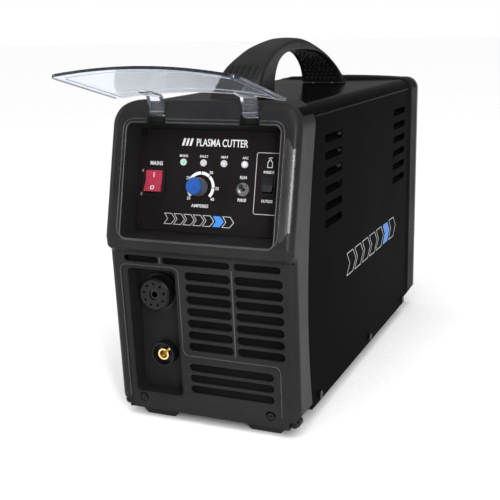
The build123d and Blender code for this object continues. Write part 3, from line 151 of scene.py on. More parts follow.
PATCHES_PER_METRE = 14.0          # how fast colour and gloss change over a surface
FLOW_PER_METRE = 60.0             # the flow marks in clear plastic


def plain(name, colour, rough, metal=0.0, spec=0.5, grain=1400.0, depth=0.00004, vary=0.25,
          rough_vary=0.08, strength=0.6):
    """A moulded, painted or metal surface: fine grain, slow variation in colour and roughness."""
    mat, tree, shader = nodes_of(name)
    slow = noise(tree, PATCHES_PER_METRE, 4.0, 0.6)
    fine = noise(tree, grain, 2.0, 0.5)
    spread = mapped(tree, slow, 0.3, 0.7, 0.0, 1.0)
    dark = tuple(c * (1 - vary) for c in colour)
    light = tuple(min(1.0, c * (1 + vary)) for c in colour)
    tone = blended(tree, spread, dark, light)
    speck = mapped(tree, fine, 0.45, 0.75, 0.0, 0.35)
    tone = blended(tree, speck, tone, tuple(min(1.0, c * 1.8 + 0.004) for c in colour))
    tree.links.new(tone, shader.inputs["Base Color"])
    gloss = mapped(tree, slow, 0.3, 0.7, rough - rough_vary, rough + rough_vary)
    tree.links.new(gloss, shader.inputs["Roughness"])
    shader.inputs["Metallic"].default_value = metal
    shader.inputs["Specular IOR Level"].default_value = spec
    bumped(tree, shader, fine, strength, depth)
    return mat


def glass(name, colour, rough, ior=1.5, clear=1.0):
    """A clear moulded plastic with faint flow marks; clear is the share of light that passes."""
    mat, tree, shader = nodes_of(name)
    shader.inputs["Base Color"].default_value = (*colour, 1.0)
    shader.inputs["Transmission Weight"].default_value = clear
    shader.inputs["IOR"].default_value = ior
    flow = noise(tree, FLOW_PER_METRE, 2.0, 0.4)
    gloss = mapped(tree, flow, 0.3, 0.7, rough * 0.6, rough * 1.4)
    tree.links.new(gloss, shader.inputs["Roughness"])
    bumped(tree, shader, flow, 0.15, 0.0002)
    return mat


M = {
    "bezel": plain("bezel_plastic", (0.0120, 0.0120, 0.0125), 0.36, spec=0.08, grain=800.0, depth=0.00022,
                   strength=0.9),
    "crown": plain("crown_plastic", (0.0085, 0.0085, 0.0090), 0.34, spec=0.6, grain=800.0, depth=0.00022,
                   strength=0.9),
    "panel": plain("panel_print", (0.0056, 0.0042, 0.0047), 0.6, spec=0.06, grain=2600.0, depth=0.00001),
    "rear": plain("rear_plastic", (0.0075, 0.0075, 0.0079), 0.42, spec=0.02, grain=900.0, depth=0.00008),
    # the rear rim's light grey on the black moulding is a painted highlight
    "rim": plain("rim_painted_highlight", (0.10, 0.10, 0.10), 0.3, spec=0.5, grain=1500.0, depth=0.00002),
    "liner": plain("bezel_liner", (0.0085, 0.0085, 0.0089), 0.5, spec=0.1, grain=900.0, depth=0.00008),
    # the cover's top and sides are one paint in lit and shaded copies: the top's lighter colour is painted
    # light, the sides' darker colour is painted shade
    "cover_top": plain("cover_top_lit_paint", (0.002, 0.002, 0.0021), 0.13, spec=0.007, grain=1100.0,
                       depth=0.00001, rough_vary=0.03),
    "cover_side": plain("cover_side_shaded_paint", (0.0016, 0.0016, 0.0017), 0.45, spec=0.003, grain=1100.0,
                        depth=0.00002, rough_vary=0.03),
    "handle": plain("handle_plastic", (0.006, 0.006, 0.0063), 0.38, spec=0.16, grain=1300.0, depth=0.00008),
    "black": plain("switch_black", (0.005, 0.005, 0.005), 0.35, spec=0.2, grain=2400.0, depth=0.00001),
    "red": plain("rocker_red", (0.24, 0.015, 0.034), 0.38, spec=0.35, grain=2000.0, depth=0.00002),
    "blue": plain("knob_blue", (0.005, 0.045, 0.19), 0.42, spec=0.3, grain=2000.0, depth=0.00002),
    "knob": plain("knob_grey", (0.05, 0.05, 0.055), 0.5, spec=0.4, grain=2000.0, depth=0.00003),
    "chrome": plain("chrome_trim", (0.62, 0.62, 0.63), 0.14, metal=1.0, grain=1800.0, depth=0.000005,
                    rough_vary=0.04),
    "zinc": plain("zinc_steel", (0.42, 0.42, 0.44), 0.34, metal=1.0, grain=900.0, depth=0.00002),
    "black_steel": plain("black_steel", (0.035, 0.035, 0.036), 0.36, metal=1.0, grain=1500.0,
                         depth=0.00002),
    "brass": plain("bare_brass", (0.74, 0.60, 0.30), 0.24, metal=1.0, grain=1600.0, depth=0.00001),
    # the torch socket core is metal, painted near black as painted shade of its recessed hole
    "core": plain("core_metal_painted_shade", (0.035, 0.035, 0.035), 0.25, metal=1.0, grain=1600.0, depth=0.00001),
    "nickel": plain("nickel_brass", (0.55, 0.53, 0.47), 0.22, metal=1.0, grain=1600.0, depth=0.00001),
    "rubber": plain("foot_rubber", (0.020, 0.020, 0.020), 0.75, spec=0.3, grain=1000.0, depth=0.00010),
    "wire": plain("guard_wire", (0.02, 0.02, 0.02), 0.4, grain=1500.0, depth=0.00002),
    "fan": plain("fan_plastic", (0.012, 0.012, 0.012), 0.45, grain=1500.0, depth=0.00002),
    "pcb": plain("circuit_board", (0.012, 0.10, 0.03), 0.35, grain=700.0, depth=0.00003),
    "sheet": plain("dark_sheet", (0.012, 0.012, 0.0125), 0.4, spec=0.3, grain=300.0, depth=0.00002),
    "sleeve": plain("capacitor_sleeve", (0.01, 0.02, 0.08), 0.4, grain=1500.0, depth=0.00001),
    "sink": plain("heatsink_aluminium", (0.45, 0.46, 0.48), 0.35, metal=1.0, grain=900.0, depth=0.00002),
    "ferrite": plain("ferrite", (0.03, 0.03, 0.032), 0.55, grain=900.0, depth=0.00005),
    "tape": plain("winding_tape", (0.55, 0.38, 0.05), 0.4, grain=600.0, depth=0.00004),
    "copper": plain("winding_copper", (0.62, 0.26, 0.12), 0.3, metal=1.0, grain=800.0, depth=0.00004),
    "cast": plain("motor_cast", (0.25, 0.26, 0.27), 0.5, metal=0.8, grain=700.0, depth=0.00008),
    "bright": plain("bright_steel", (0.5, 0.5, 0.52), 0.25, metal=1.0, grain=1200.0, depth=0.00001),
    "screw_black": plain("screw_black", (0.002, 0.002, 0.002), 0.35, spec=0.25, grain=1500.0,
                         depth=0.00002),
    "foam": plain("filter_foam", (0.0038, 0.0038, 0.0040), 0.95, spec=0.02, grain=900.0, depth=0.0006,
                  vary=0.5, strength=1.0),
    "foot": plain("foot_plastic", (0.012, 0.012, 0.0125), 0.55, spec=0.15, grain=1000.0, depth=0.00008),
    "ring": plain("lamp_ring", (0.35, 0.35, 0.36), 0.4, grain=2000.0, depth=0.00001),
    "print": plain("print_white", (0.55, 0.55, 0.55), 0.55, grain=2600.0, depth=0.000004, vary=0.1),
    "print_grey": plain("print_grey", (0.42, 0.42, 0.42), 0.55, grain=2600.0, depth=0.000004, vary=0.1),
    "print_blue": plain("print_blue", (0.02, 0.16, 0.55), 0.5, grain=2600.0, depth=0.000004, vary=0.1),
    # the beads' colour, lighter than the bezel, is a painted highlight on top of their real relief
    "bead_painted_highlight": plain("bead_painted_highlight", (0.03, 0.03, 0.031), 0.3, spec=0.4, grain=1500.0, depth=0.00002),
    "pad": plain("handle_pad", (0.012, 0.012, 0.0125), 0.2, spec=0.5, grain=1500.0, depth=0.00001),
    # near-black strips between the handle's ribs: painted shade of grooves
    "groove_shade": plain("groove_painted_shade", (0.003, 0.003, 0.003), 0.7, spec=0.1, grain=900.0, depth=0.00002),
    "visor": glass("clear_visor", (0.86, 0.90, 0.97), 0.03, 1.13, 0.97),
    "visor_edge": glass("visor_edge", (0.22, 0.25, 0.30), 0.12, 1.45),
}
LAMP_TONES = [(0.02, 0.55, 0.2), (0.35, 0.35, 0.36), (0.55, 0.33, 0.40), (0.62, 0.62, 0.66)]
LAMP_FIRST_X = -0.0305
LAMP_PITCH = 0.0236
LAMP_GLOW = 0.25


def lamp_material():
    """Four lamp lenses in one material: the colour changes from lamp to lamp across the panel."""
    mat, tree, shader = nodes_of("lamp_lens")
    split = tree.nodes.new("ShaderNodeSeparateXYZ")
    tree.links.new(tree.nodes.new("ShaderNodeTexCoord").outputs["Object"], split.inputs["Vector"])
    low = LAMP_FIRST_X - LAMP_PITCH / 2
    across = mapped(tree, split.outputs["X"], low, low + LAMP_PITCH * len(LAMP_TONES), 0.0, 1.0)
    ramp = tree.nodes.new("ShaderNodeValToRGB")
    ramp.color_ramp.interpolation = "CONSTANT"
    tree.links.new(across, ramp.inputs["Fac"])
    stops = ramp.color_ramp.elements
    while len(stops) < len(LAMP_TONES):
        stops.new(0.5)
    for i, tone in enumerate(LAMP_TONES):
        stops[i].position = i / len(LAMP_TONES)
        stops[i].color = (*tone, 1.0)
    cloud = mapped(tree, noise(tree, 500.0), 0.3, 0.7, 0.0, 0.3)
    tone = blended(tree, cloud, ramp.outputs["Color"], (0.75, 0.75, 0.75))
    tree.links.new(tone, shader.inputs["Base Color"])
    tree.links.new(ramp.outputs["Color"], shader.inputs["Emission Color"])
    shader.inputs["Emission Strength"].default_value = LAMP_GLOW
    shader.inputs["Roughness"].default_value = 0.3
    return mat


NODE_MATERIALS = {
    "bezel": ["front_bezel", "front_bezel_left", "front_grille"],
    "rear": ["rear_bezel"],
    "liner": ["control_recess", "connector_pocket"],
    "panel": ["control_panel"],
    "black_steel": ["panel_screws", "foot_screws", "solenoid_valve", "visor_hinge_pins"],
    "screw_black": ["case_screws"],
    "foam": ["filter_pad"],
    "black": ["power_switch_body", "air_switch_body", "air_rocker", "torch_socket_body",
              "torch_socket_flange", "earth_socket_body", "toggle_lever", "cable_gland"],
    "red": ["power_rocker"],
    "blue": ["knob_cap"],
    "knob": ["knob_body"],
    "chrome": ["toggle_nut"],
    "zinc": ["potentiometer", "toggle_switch_body", "handle_screws"],
    "ring": ["led_holders"],
    "pcb": ["control_board", "inverter_board"],
    "core": ["torch_socket_core"],
    "nickel": ["air_inlet_fitting"],
    "brass": ["earth_socket_insert"],
    "cover_top": ["cover"],
    "cover_side": ["cover_left", "cover_right"],
    "sheet": ["base_tray", "shelf_plate"],
    "rubber": ["compressor_mounts", "supply_hose"],
    "foot": ["feet"],
    "wire": ["fan_guard"],
    "fan": ["fan_frame", "fan_rotor", "power_transistors"],
    "handle": ["handle"],
    "sleeve": ["capacitors"],
    "sink": ["heatsinks", "compressor_cylinder", "compressor_head"],
    "ferrite": ["transformer_core"],
    "tape": ["transformer_winding"],
    "copper": ["output_choke"],
    "cast": ["compressor_motor", "compressor_crankcase"],
    "bright": ["compressor_crank", "compressor_piston"],
    "visor": ["visor"],
}


def paint(node, mat):
    """One material over a whole CAD node."""
    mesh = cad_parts[node].data
    mesh.materials.clear()
    mesh.materials.append(mat)


for key, names in NODE_MATERIALS.items():
    for node in names:
        paint(node, M[key])
paint("lamps", lamp_material())


# ---------------------------------------------------------------- mesh helpers
FLAT = [(-0.5, 0.0), (0.5, 0.0), (0.5, 1.0), (-0.5, 1.0)]
ROUND = [(0.5 * math.cos(math.pi * i / 8), math.sin(math.pi * i / 8)) for i in range(9)]


def join_rings(bm, rings, closed=False):
    """Faces from each ring to the next; the ends are capped unless the run is closed."""
    count = len(rings)
    for i in range(count if closed else count - 1):
        first, second = rings[i], rings[(i + 1) % count]
        for k in range(len(first)):
            j = (k + 1) % len(first)
            bm.faces.new((first[k], first[j], second[j], second[k]))
    if not closed:
        bm.faces.new(rings[0])
        bm.faces.new(list(reversed(rings[-1])))


def sweep(bm, points, normals, profile, width, height, closed=False, sink=0.0):
    """Pulls a profile of (across, up) along points; width, height and sink are in millimetres."""
    count = len(points)
    rings = []
    for i, point in enumerate(points):
        before = points[i - 1] if closed or i else None
        after = points[(i + 1) % count] if closed or i < count - 1 else None
        arrive = (point - before).normalized() if before else (after - point).normalized()
        leave = (after - point).normalized() if after else arrive
        tangent = (arrive + leave).normalized()
        normal = normals[i] if isinstance(normals, list) else normals
        side = tangent.cross(normal).normalized()
        mitre = min(2.0, 1.0 / max(0.3, tangent.dot(arrive)))
        rings.append([bm.verts.new(point + side * (a * width * mitre / 1000)
                                   + normal * ((h * (height + sink) - sink) / 1000))
                      for a, h in profile])
    join_rings(bm, rings, closed)


def slab(bm, outline, place, low, high):
    """A flat plate with any outline, between two lifts above a surface."""
    bottom = [bm.verts.new(place(a, b, low)) for a, b in outline]
    top = [bm.verts.new(place(a, b, high)) for a, b in outline]
    bm.faces.new(top)
    bm.faces.new(list(reversed(bottom)))
    for i in range(len(outline)):
        j = (i + 1) % len(outline)
        bm.faces.new((bottom[i], bottom[j], top[j], top[i]))


def stroke(bm, points, place, normal, width, lift=0.05, thick=0.12, closed=False):
    """A printed line of one width along 2D points."""
    path = [place(a, b, lift) for a, b in points]
    sweep(bm, path, normal, FLAT, width, thick, closed)


def arc(centre, radius, start, end, steps):
    """2D points on an arc, angles in degrees."""
    angles = [math.radians(start + (end - start) * i / steps) for i in range(steps + 1)]
    return [(centre[0] + radius * math.cos(a), centre[1] + radius * math.sin(a)) for a in angles]


def rounded(corners, radius, closed=True, steps=6):
    """A 2D outline with its corners rounded."""
    count = len(corners)
    points = []
    for i, corner in enumerate(corners):
        if not closed and i in (0, count - 1):
            points.append(tuple(corner))
            continue
        here = Vector(corner)
        back = (Vector(corners[i - 1]) - here).normalized()
        ahead = (Vector(corners[(i + 1) % count]) - here).normalized()
        half = back.angle(ahead) / 2
        reach = radius / math.tan(half)
        middle = here + (back + ahead).normalized() * (radius / math.sin(half))
        start = here + back * reach - middle
        end = here + ahead * reach - middle
        first = math.atan2(start.y, start.x)
        turn = (math.atan2(end.y, end.x) - first + math.pi) % (2 * math.pi) - math.pi
        for k in range(steps + 1):
            a = first + turn * k / steps
            points.append((middle.x + radius * math.cos(a), middle.y + radius * math.sin(a)))
    return points


def finish_piece(bm, name, mat, body, smooth=40.0):
    """Makes a piece from a mesh, with smooth faces between sharp edges, riding on a body."""
    bmesh.ops.recalc_face_normals(bm, faces=bm.faces)
    mesh = bpy.data.meshes.new(name)
    bm.to_mesh(mesh)
    bm.free()
    mesh.shade_smooth()
    mesh.set_sharp_from_angle(angle=math.radians(smooth))
    mesh.materials.append(mat)
    piece = bpy.data.objects.new(name, mesh)
    bpy.context.scene.collection.objects.link(piece)
    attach(piece, body)
    return piece


def write(bm, text, middle, height, width, place, lift=0.05, thick=0.12, bold=0.0):
    """Lettering of a cap height and an overall width, centred on a 2D point."""
    curve = bpy.data.curves.new("lettering_source", "FONT")
    curve.body = text
    curve.extrude = 0.5
    curve.offset = bold
    curve.resolution_u = 3
    source = bpy.data.objects.new("lettering_source", curve)
    bpy.context.scene.collection.objects.link(source)
    bpy.context.view_layer.update()
    graph = bpy.context.evaluated_depsgraph_get()
    mesh = bpy.data.meshes.new_from_object(source.evaluated_get(graph))
    xs = [v.co.x for v in mesh.vertices]
    ys = [v.co.y for v in mesh.vertices]
    x0, x1, y0, y1 = min(xs), max(xs), min(ys), max(ys)
    for v in mesh.vertices:
        a = middle[0] + ((v.co.x - x0) / (x1 - x0) - 0.5) * width
        b = middle[1] + ((v.co.y - y0) / (y1 - y0) - 0.5) * height
        v.co = place(a, b, lift + (thick if v.co.z > 0 else 0.0))
    bm.from_mesh(mesh)
    bpy.data.objects.remove(source)
    bpy.data.curves.remove(curve)
    bpy.data.meshes.remove(mesh)


def surface_of(node):
    """A search tree of a CAD node's surface."""
    return BVHTree.FromObject(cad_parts[node], bpy.context.evaluated_depsgraph_get())


# ---------------------------------------------------------------- printing on the control panel
def box_outline(u0, u1, v0, v1):
    """The corners of a 2D rectangle."""
    return [(u0, v0), (u1, v0), (u1, v1), (u0, v1)]


def chevron(start, low, width, height):
    """The outline of one chevron that points right."""
    shoulder = width * 0.66
    notch = width * 0.30
    return [(start, low), (start + shoulder, low), (start + width, low + height / 2),
            (start + shoulder, low + height), (start, low + height), (start + notch, low + height / 2)]


def chevron_row(bm_line, bm_fill, place, normal, start, low, pitch, height, count, filled, line):
    """A plain row of outlined chevrons, one of them filled."""
    for i in range(count):
        outline = chevron(start + pitch * i, low, pitch * 1.12, height)
        if i == filled:
            slab(bm_fill, outline, place, 0.05, 0.17)
        else:
            stroke(bm_line, outline, place, normal, line, closed=True)


def panel_printing():
    """The white, grey and blue printing on the control panel."""
    bm = bmesh.new()
    write(bm, "PLASMA CUTTER", (12.8, 106.6), 8.0, 59.0, on_panel, bold=0.012)
    for label, u, width in (("MAINS", -30.7, 9.6), ("FAULT", -6.9, 9.4), ("HEAT", 16.7, 8.0),
                            ("ARC", 40.4, 6.6)):
        write(bm, label, (u, 92.0), 2.6, width, on_panel, bold=0.006)
    write(bm, "MAINS", (-62.8, 83.0), 4.4, 15.0, on_panel, bold=0.008)
    write(bm, "ON", (-77.2, 74.6), 2.9, 4.6, on_panel, bold=0.006)
    write(bm, "OFF", (-77.0, 49.2), 2.9, 5.4, on_panel, bold=0.006)
    write(bm, "RUN", (39.6, 71.7), 3.2, 7.4, on_panel, bold=0.006)
    write(bm, "PURGE", (39.6, 48.3), 3.2, 9.6, on_panel, bold=0.006)
    write(bm, "INSIDE", (67.5, 78.3), 2.9, 11.6, on_panel, bold=0.006)
    write(bm, "OUTSIDE", (67.4, 48.6), 2.9, 12.4, on_panel, bold=0.006)
    write(bm, "AMPERES", (-8.2, 39.8), 3.4, 20.0, on_panel, bold=0.006)
    for label, u, v in (("20", -21.9, 47.4), ("25", -24.2, 68.8), ("30", 2.6, 75.4), ("35", 10.4, 58.9),
                        ("40", 5.8, 47.4)):
        write(bm, label, (u, v), 3.2, 4.1, on_panel, bold=0.006)
    for start, end in ((222, 152), (148.5, 91.8), (88.2, 51.8), (48.2, -0.2), (-3.8, -42)):
        steps = max(4, int(abs(end - start) / 5))
        stroke(bm, arc((-8.7, 59.9), 14.6, start, end, steps), on_panel, OUT_OF_FACE, 3.2)
    for i in range(3):
        base = -34.0 + 4.4 * i
        slab(bm, [(base, 102.8), (base + 2.4, 102.8), (base + 4.6, 110.6), (base + 2.2, 110.6)],
             on_panel, 0.05, 0.17)
    bottle = [(65.6, 83.2), (70.6, 83.2), (70.6, 88.4), (69.3, 89.8), (69.3, 91.0), (66.9, 91.0),
              (66.9, 89.8), (65.6, 88.4)]
    stroke(bm, bottle, on_panel, OUT_OF_FACE, 0.55, closed=True)
    stroke(bm, [(66.2, 92.6), (70.4, 93.4)], on_panel, OUT_OF_FACE, 0.6)
    finish_piece(bm, "panel_lettering", M["print"], "case")
    grey = bmesh.new()
    blue = bmesh.new()
    stroke(grey, rounded([(82.6, 98.0), (53.2, 98.0), (53.2, 34.8), (82.6, 34.8)], 2.0, closed=False),
           on_panel, OUT_OF_FACE, 0.5)
    chevron_row(grey, blue, on_panel, OUT_OF_FACE, -49.0, 18.8, 11.4, 11.2, 7, 5, 0.55)
    finish_piece(grey, "panel_lines", M["print_grey"], "case")
    finish_piece(blue, "panel_blue_mark", M["print_blue"], "case")


def side_printing(side, place, normal):
    """The row of chevrons on one side of the cover."""
    grey = bmesh.new()
    blue = bmesh.new()
    chevron_row(grey, blue, place, normal, 132.0, 119.0, 33.0, 27.0, 7, 5, 1.0)
    finish_piece(grey, "side_lines_" + side, M["print_grey"], "case")
    finish_piece(blue, "side_blue_mark_" + side, M["print_blue"], "case")


def rocker_marks():
    """The bar and the ring moulded into the mains rocker."""
    tree = surface_of("power_rocker")
    bm = bmesh.new()
    for v, ring in ((70.2, False), (56.4, True)):
        start = on_panel(-64.0, v, 30.0)
        spot, normal = tree.ray_cast(start, -OUT_OF_FACE)[:2]
        up = (UP_FACE - normal * UP_FACE.dot(normal)).normalized()
        across = up.cross(normal)

        def place(a, b, lift, spot=spot, normal=normal, up=up, across=across):
            return spot + (across * a + up * b + normal * lift) / 1000

        if ring:
            stroke(bm, arc((0, 0), 2.0, 0, 337.5, 15), place, normal, 0.75, closed=True)
        else:
            slab(bm, box_outline(-0.45, 0.45, -2.5, 2.5), place, 0.05, 0.17)
    finish_piece(bm, "rocker_marks", M["print"], "power_rocker")


# ---------------------------------------------------------------- mouldings on the bezel
RECESS_HALF = 87.0
NOTCH_INNER = 41.6
NOTCH_OUTER = 64.4


def recess_beads():
    """Two fine beads round the control recess, broken at the hinge notches; their real relief catches
    light, and their lighter plastic is a painted highlight.
    """
    bm = bmesh.new()
    for grow, width, height in ((0.9, 1.5, 0.75), (4.6, 1.2, 0.55)):
        half = RECESS_HALF + grow
        low, high = -grow, FACE_HEIGHT + grow
        if grow > 2:
            low = 0.2
        corners = [(NOTCH_OUTER, high), (half, high), (half, low), (-half, low), (-half, high),
                   (-NOTCH_OUTER, high)]
        path = [on_face(u, v) for u, v in rounded(corners, 7.0 + grow, closed=False)]
        sweep(bm, path, OUT_OF_FACE, ROUND, width, height, sink=0.3)
        bridge = [on_face(u, high) for u in (-NOTCH_INNER, -20.0, 0.0, 20.0, NOTCH_INNER)]
        sweep(bm, bridge, OUT_OF_FACE, ROUND, width, height, sink=0.3)
    finish_piece(bm, "recess_beads", M["bead_painted_highlight"], "case")


CROWN_LOW = 3.0
CROWN_HIGH = 115.0
CROWN_STATIONS = 36
CROWN_FADE = 18.0                 # the strip's ends sink into the frame over this length
CROWN_SINK = 1.4
CROWN_START = 93.3                # where the strip begins to turn over, across the face
CROWN_REACH = 11.8
CROWN_DROP = 4.5
CROWN_PROUD = 0.8


def crown_section(v):
    """One section of the crowned strip, at a height up the control face."""
    sunk = max(0.0, 1.0 - min(v - CROWN_LOW, CROWN_HIGH - v) / CROWN_FADE) ** 2
    sink = CROWN_SINK * sunk
    flank = 105.1 - 0.5 * sunk
    points = [on_face(92.5, v, -0.6 - sunk), on_face(92.8, v, 0.45 - sink)]
    for k in range(17):
        a = math.pi / 2 * k / 16
        points.append(on_face(CROWN_START + (CROWN_REACH - 0.5 * sunk) * math.sin(a), v,
                              CROWN_PROUD - CROWN_DROP * (1 - math.cos(a)) - sink))
    return points + [on_face(flank, v, -6.0), on_face(104.4, v, -7.0)]


def frame_crown():
    """The crowned strip of the frame to the right of the recess, turning over into the flank."""
    bm = bmesh.new()
    rise = (CROWN_HIGH - CROWN_LOW) / CROWN_STATIONS
    join_rings(bm, [[bm.verts.new(p) for p in crown_section(CROWN_LOW + rise * i)]
                    for i in range(CROWN_STATIONS + 1)])
    finish_piece(bm, "frame_crown", M["crown"], "case", 50.0)


RIM_HALF = 106.5
RIM_LOW = 12.0
RIM_TOP = 333.0
RIM_CORNER = 16.0
RIM_STRIP_Y = 482.5


def rear_rim_strip():
    """The smooth outer edge of the rear moulding, in a light grey that is a painted highlight."""
    bm = bmesh.new()
    corners = [(RIM_HALF, RIM_LOW), (RIM_HALF, RIM_TOP), (-RIM_HALF, RIM_TOP), (-RIM_HALF, RIM_LOW)]
    line = rounded(corners, RIM_CORNER, closed=False)
    points = [at(x, RIM_STRIP_Y, z) for x, z in line]
    normals = []
    for i in range(len(line)):
        (x0, z0), (x1, z1) = line[max(0, i - 1)], line[min(len(line) - 1, i + 1)]
        normals.append(Vector((z1 - z0, 0.0, x0 - x1)).normalized())
    sweep(bm, points, normals, ROUND, 6.0, 0.8, sink=0.2)
    finish_piece(bm, "rear_rim_strip", M["rim"], "case")


def grille_mouldings():
    """The upright rib between the grille's columns, and fine beads round the pocket and long slots; their
    real relief catches light, and their lighter plastic is a painted highlight.
    """
    bm = bmesh.new()
    sweep(bm, [on_lower(37.7, z) for z in (71.0, 100.0, 130.0, 167.0)], OUT_OF_LOWER, ROUND, 1.8, 0.8,
          sink=0.3)
    sweep(bm, [on_lower(-45.3, z) for z in (167.9, 171.5, 175.0)], OUT_OF_LOWER, ROUND, 1.6, 0.6, sink=0.3)
    edge = [(-94.5, 8.0), (-94.5, 164.5), (-24.5, 164.5), (-24.5, 65.5), (88.0, 65.5), (88.0, 8.0)]
    path = [on_lower(x, z) for x, z in rounded(edge, 7.0, closed=False)]
    sweep(bm, path, OUT_OF_LOWER, ROUND, 1.3, 0.45, sink=0.5)
    finish_piece(bm, "grille_mouldings", M["bead_painted_highlight"], "case")


# ---------------------------------------------------------------- visor details
VISOR_ROOT = (-38.0, 341.0)
VISOR_RISE = math.radians(13.7)
VISOR_HALF = 95.0
VISOR_LENGTH = 122.5
VISOR_CROWN = 8.0
VISOR_THICK = 2.5
VISOR_CORNER = 7.0
VISOR_UP = Vector((0.0, math.sin(VISOR_RISE), math.cos(VISOR_RISE)))


def on_visor(x, t, lift=0.0):
    """A point on the visor's upper side: x across, t from its root to its free edge."""
    rise = VISOR_CROWN * (1 - (x / VISOR_HALF) ** 2) + lift
    along = Vector((0.0, -math.cos(VISOR_RISE), math.sin(VISOR_RISE)))
    return at(*(Vector((x, *VISOR_ROOT)) + along * t + VISOR_UP * rise))


def visor_edging():
    """The visor's thick edge, and the fine ribs moulded into its underside."""
    corners = [(-VISOR_HALF, 3.0), (-VISOR_HALF, VISOR_LENGTH), (VISOR_HALF, VISOR_LENGTH),
               (VISOR_HALF, 3.0)]
    outline = rounded(corners, VISOR_CORNER, closed=False)
    path = []
    for (x0, t0), (x1, t1) in zip(outline, outline[1:]):
        steps = max(1, int(math.hypot(x1 - x0, t1 - t0) / 6))
        path += [(x0 + (x1 - x0) * i / steps, t0 + (t1 - t0) * i / steps) for i in range(steps)]
    path.append(outline[-1])
    edge = bmesh.new()
    sweep(edge, [on_visor(x, t, -VISOR_THICK - 0.1) for x, t in path], VISOR_UP, FLAT, 0.5,
          VISOR_THICK + 0.25)
    finish_piece(edge, "visor_edge", M["visor_edge"], "visor")
    ribs = bmesh.new()
    for x in (-86.0, 86.0):
        sweep(ribs, [on_visor(x, t, -VISOR_THICK) for t in range(8, 118, 10)], -VISOR_UP, ROUND, 1.4, 0.6,
              sink=0.2)
    for t in (26.0, 112.0):
        sweep(ribs, [on_visor(x, t, -VISOR_THICK) for x in range(-84, 85, 8)], -VISOR_UP, ROUND, 1.4, 0.6,
              sink=0.2)
    finish_piece(ribs, "visor_ribs", M["visor"], "visor")


# ---------------------------------------------------------------- handle details
HANDLE_OUTER = [(44, 333.0), (52, 343.0), (76, 363.5), (108, 377.5), (145, 388.0), (205, 395.5),
                (255, 391.0), (300, 377.0), (340, 357.5), (366, 340.0), (374, 333.0)]
HANDLE_INNER = [(121, 333.0), (125, 352.0), (140, 369.0), (168, 378.5), (210, 380.5), (262, 378.0),
                (300, 371.0), (330, 358.0), (346, 344.0), (351, 333.0)]
HANDLE_STATIONS = 72
HANDLE_WAIST = 17.5               # half the width at the grip
HANDLE_FLARE = 11.0
HANDLE_MIDDLE_Y = 204.0
HANDLE_REACH_Y = 148.0
HANDLE_TOP_R = 8.0
HANDLE_LOW_R = 3.5
HANDLE_CROWN = 0.9


def smooth_line(points, count):
    """Points evenly spaced along a smooth line through the given ones."""
    dense = []
    for i in range(len(points) - 1):
        a, b = Vector(points[i]), Vector(points[i + 1])
        before = Vector(points[i - 1]) if i else a * 2 - b
        after = Vector(points[i + 2]) if i + 2 < len(points) else b * 2 - a
        for k in range(20):
            t = k / 20
            dense.append(0.5 * (2 * a + (b - before) * t + (2 * before - 5 * a + 4 * b - after) * t ** 2
                                + (3 * a - before - 3 * b + after) * t ** 3))
    dense.append(Vector(points[-1]))
    run = [0.0]
    for a, b in zip(dense, dense[1:]):
        run.append(run[-1] + (b - a).length)
    out = []
    k = 0
    for i in range(count + 1):
        s = run[-1] * i / count
        while k < len(run) - 2 and run[k + 1] < s:
            k += 1
        out.append(dense[k].lerp(dense[k + 1], (s - run[k]) / (run[k + 1] - run[k])))
    return out


def handle_half_width(y):
    """Half the handle's width at a depth: narrow at the grip, wide at the feet."""
    return HANDLE_WAIST + HANDLE_FLARE * (abs(y - HANDLE_MIDDLE_Y) / HANDLE_REACH_Y) ** 2.2


def handle_ring(outer, inner):
    """One section of the handle: a crowned top with wide round edges and a flatter underside."""
    span = (outer - inner).length
    up = (outer - inner).normalized()
    top_r = min(HANDLE_TOP_R, span * 0.55)
    low_r = min(HANDLE_LOW_R, span * 0.3)
    half = []
    for i in range(5):
        half.append((i / 4, 0.0, low_r))
    for i in range(1, 6):
        a = math.pi / 2 * i / 5
        half.append((None, low_r * (1 - math.cos(a)), low_r * (1 - math.sin(a))))
    for i in range(1, 4):
        half.append((None, low_r + (span - low_r - top_r) * i / 4, 0.0))
    for i in range(9):
        a = math.pi / 2 * i / 8
        half.append((None, span - top_r * (1 - math.sin(a)), top_r * (1 - math.cos(a))))
    for i in range(1, 5):
        half.append((1 - i / 4, span, top_r))
    ring = []
    for share, rise, inset in half:
        spot = inner + up * rise
        width = handle_half_width(spot.x) - inset
        x = width if share is None else width * share
        crown = HANDLE_CROWN * (1 - share ** 2) if share is not None and rise else 0.0
        ring.append((x, spot + up * crown))
    left = [(-x, spot) for x, spot in reversed(ring[1:-1])]
    return [at(x, spot.x, spot.y) for x, spot in ring + left]


def handle_body():
    """The carrying handle as one smooth moulding with soft edges."""
    bm = bmesh.new()
    rings = []
    for outer, inner in zip(smooth_line(HANDLE_OUTER, HANDLE_STATIONS),
                            smooth_line(HANDLE_INNER, HANDLE_STATIONS)):
        rings.append([bm.verts.new(p) for p in handle_ring(outer, inner)])
    join_rings(bm, rings)
    piece = finish_piece(bm, "handle_moulding", M["handle"], "case", 50.0)
    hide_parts("handle")
    return BVHTree.FromObject(piece, bpy.context.evaluated_depsgraph_get())


PAD_PITCH = 6.6
PAD_SPACING = 6.4
PAD_EDGE = 6.5


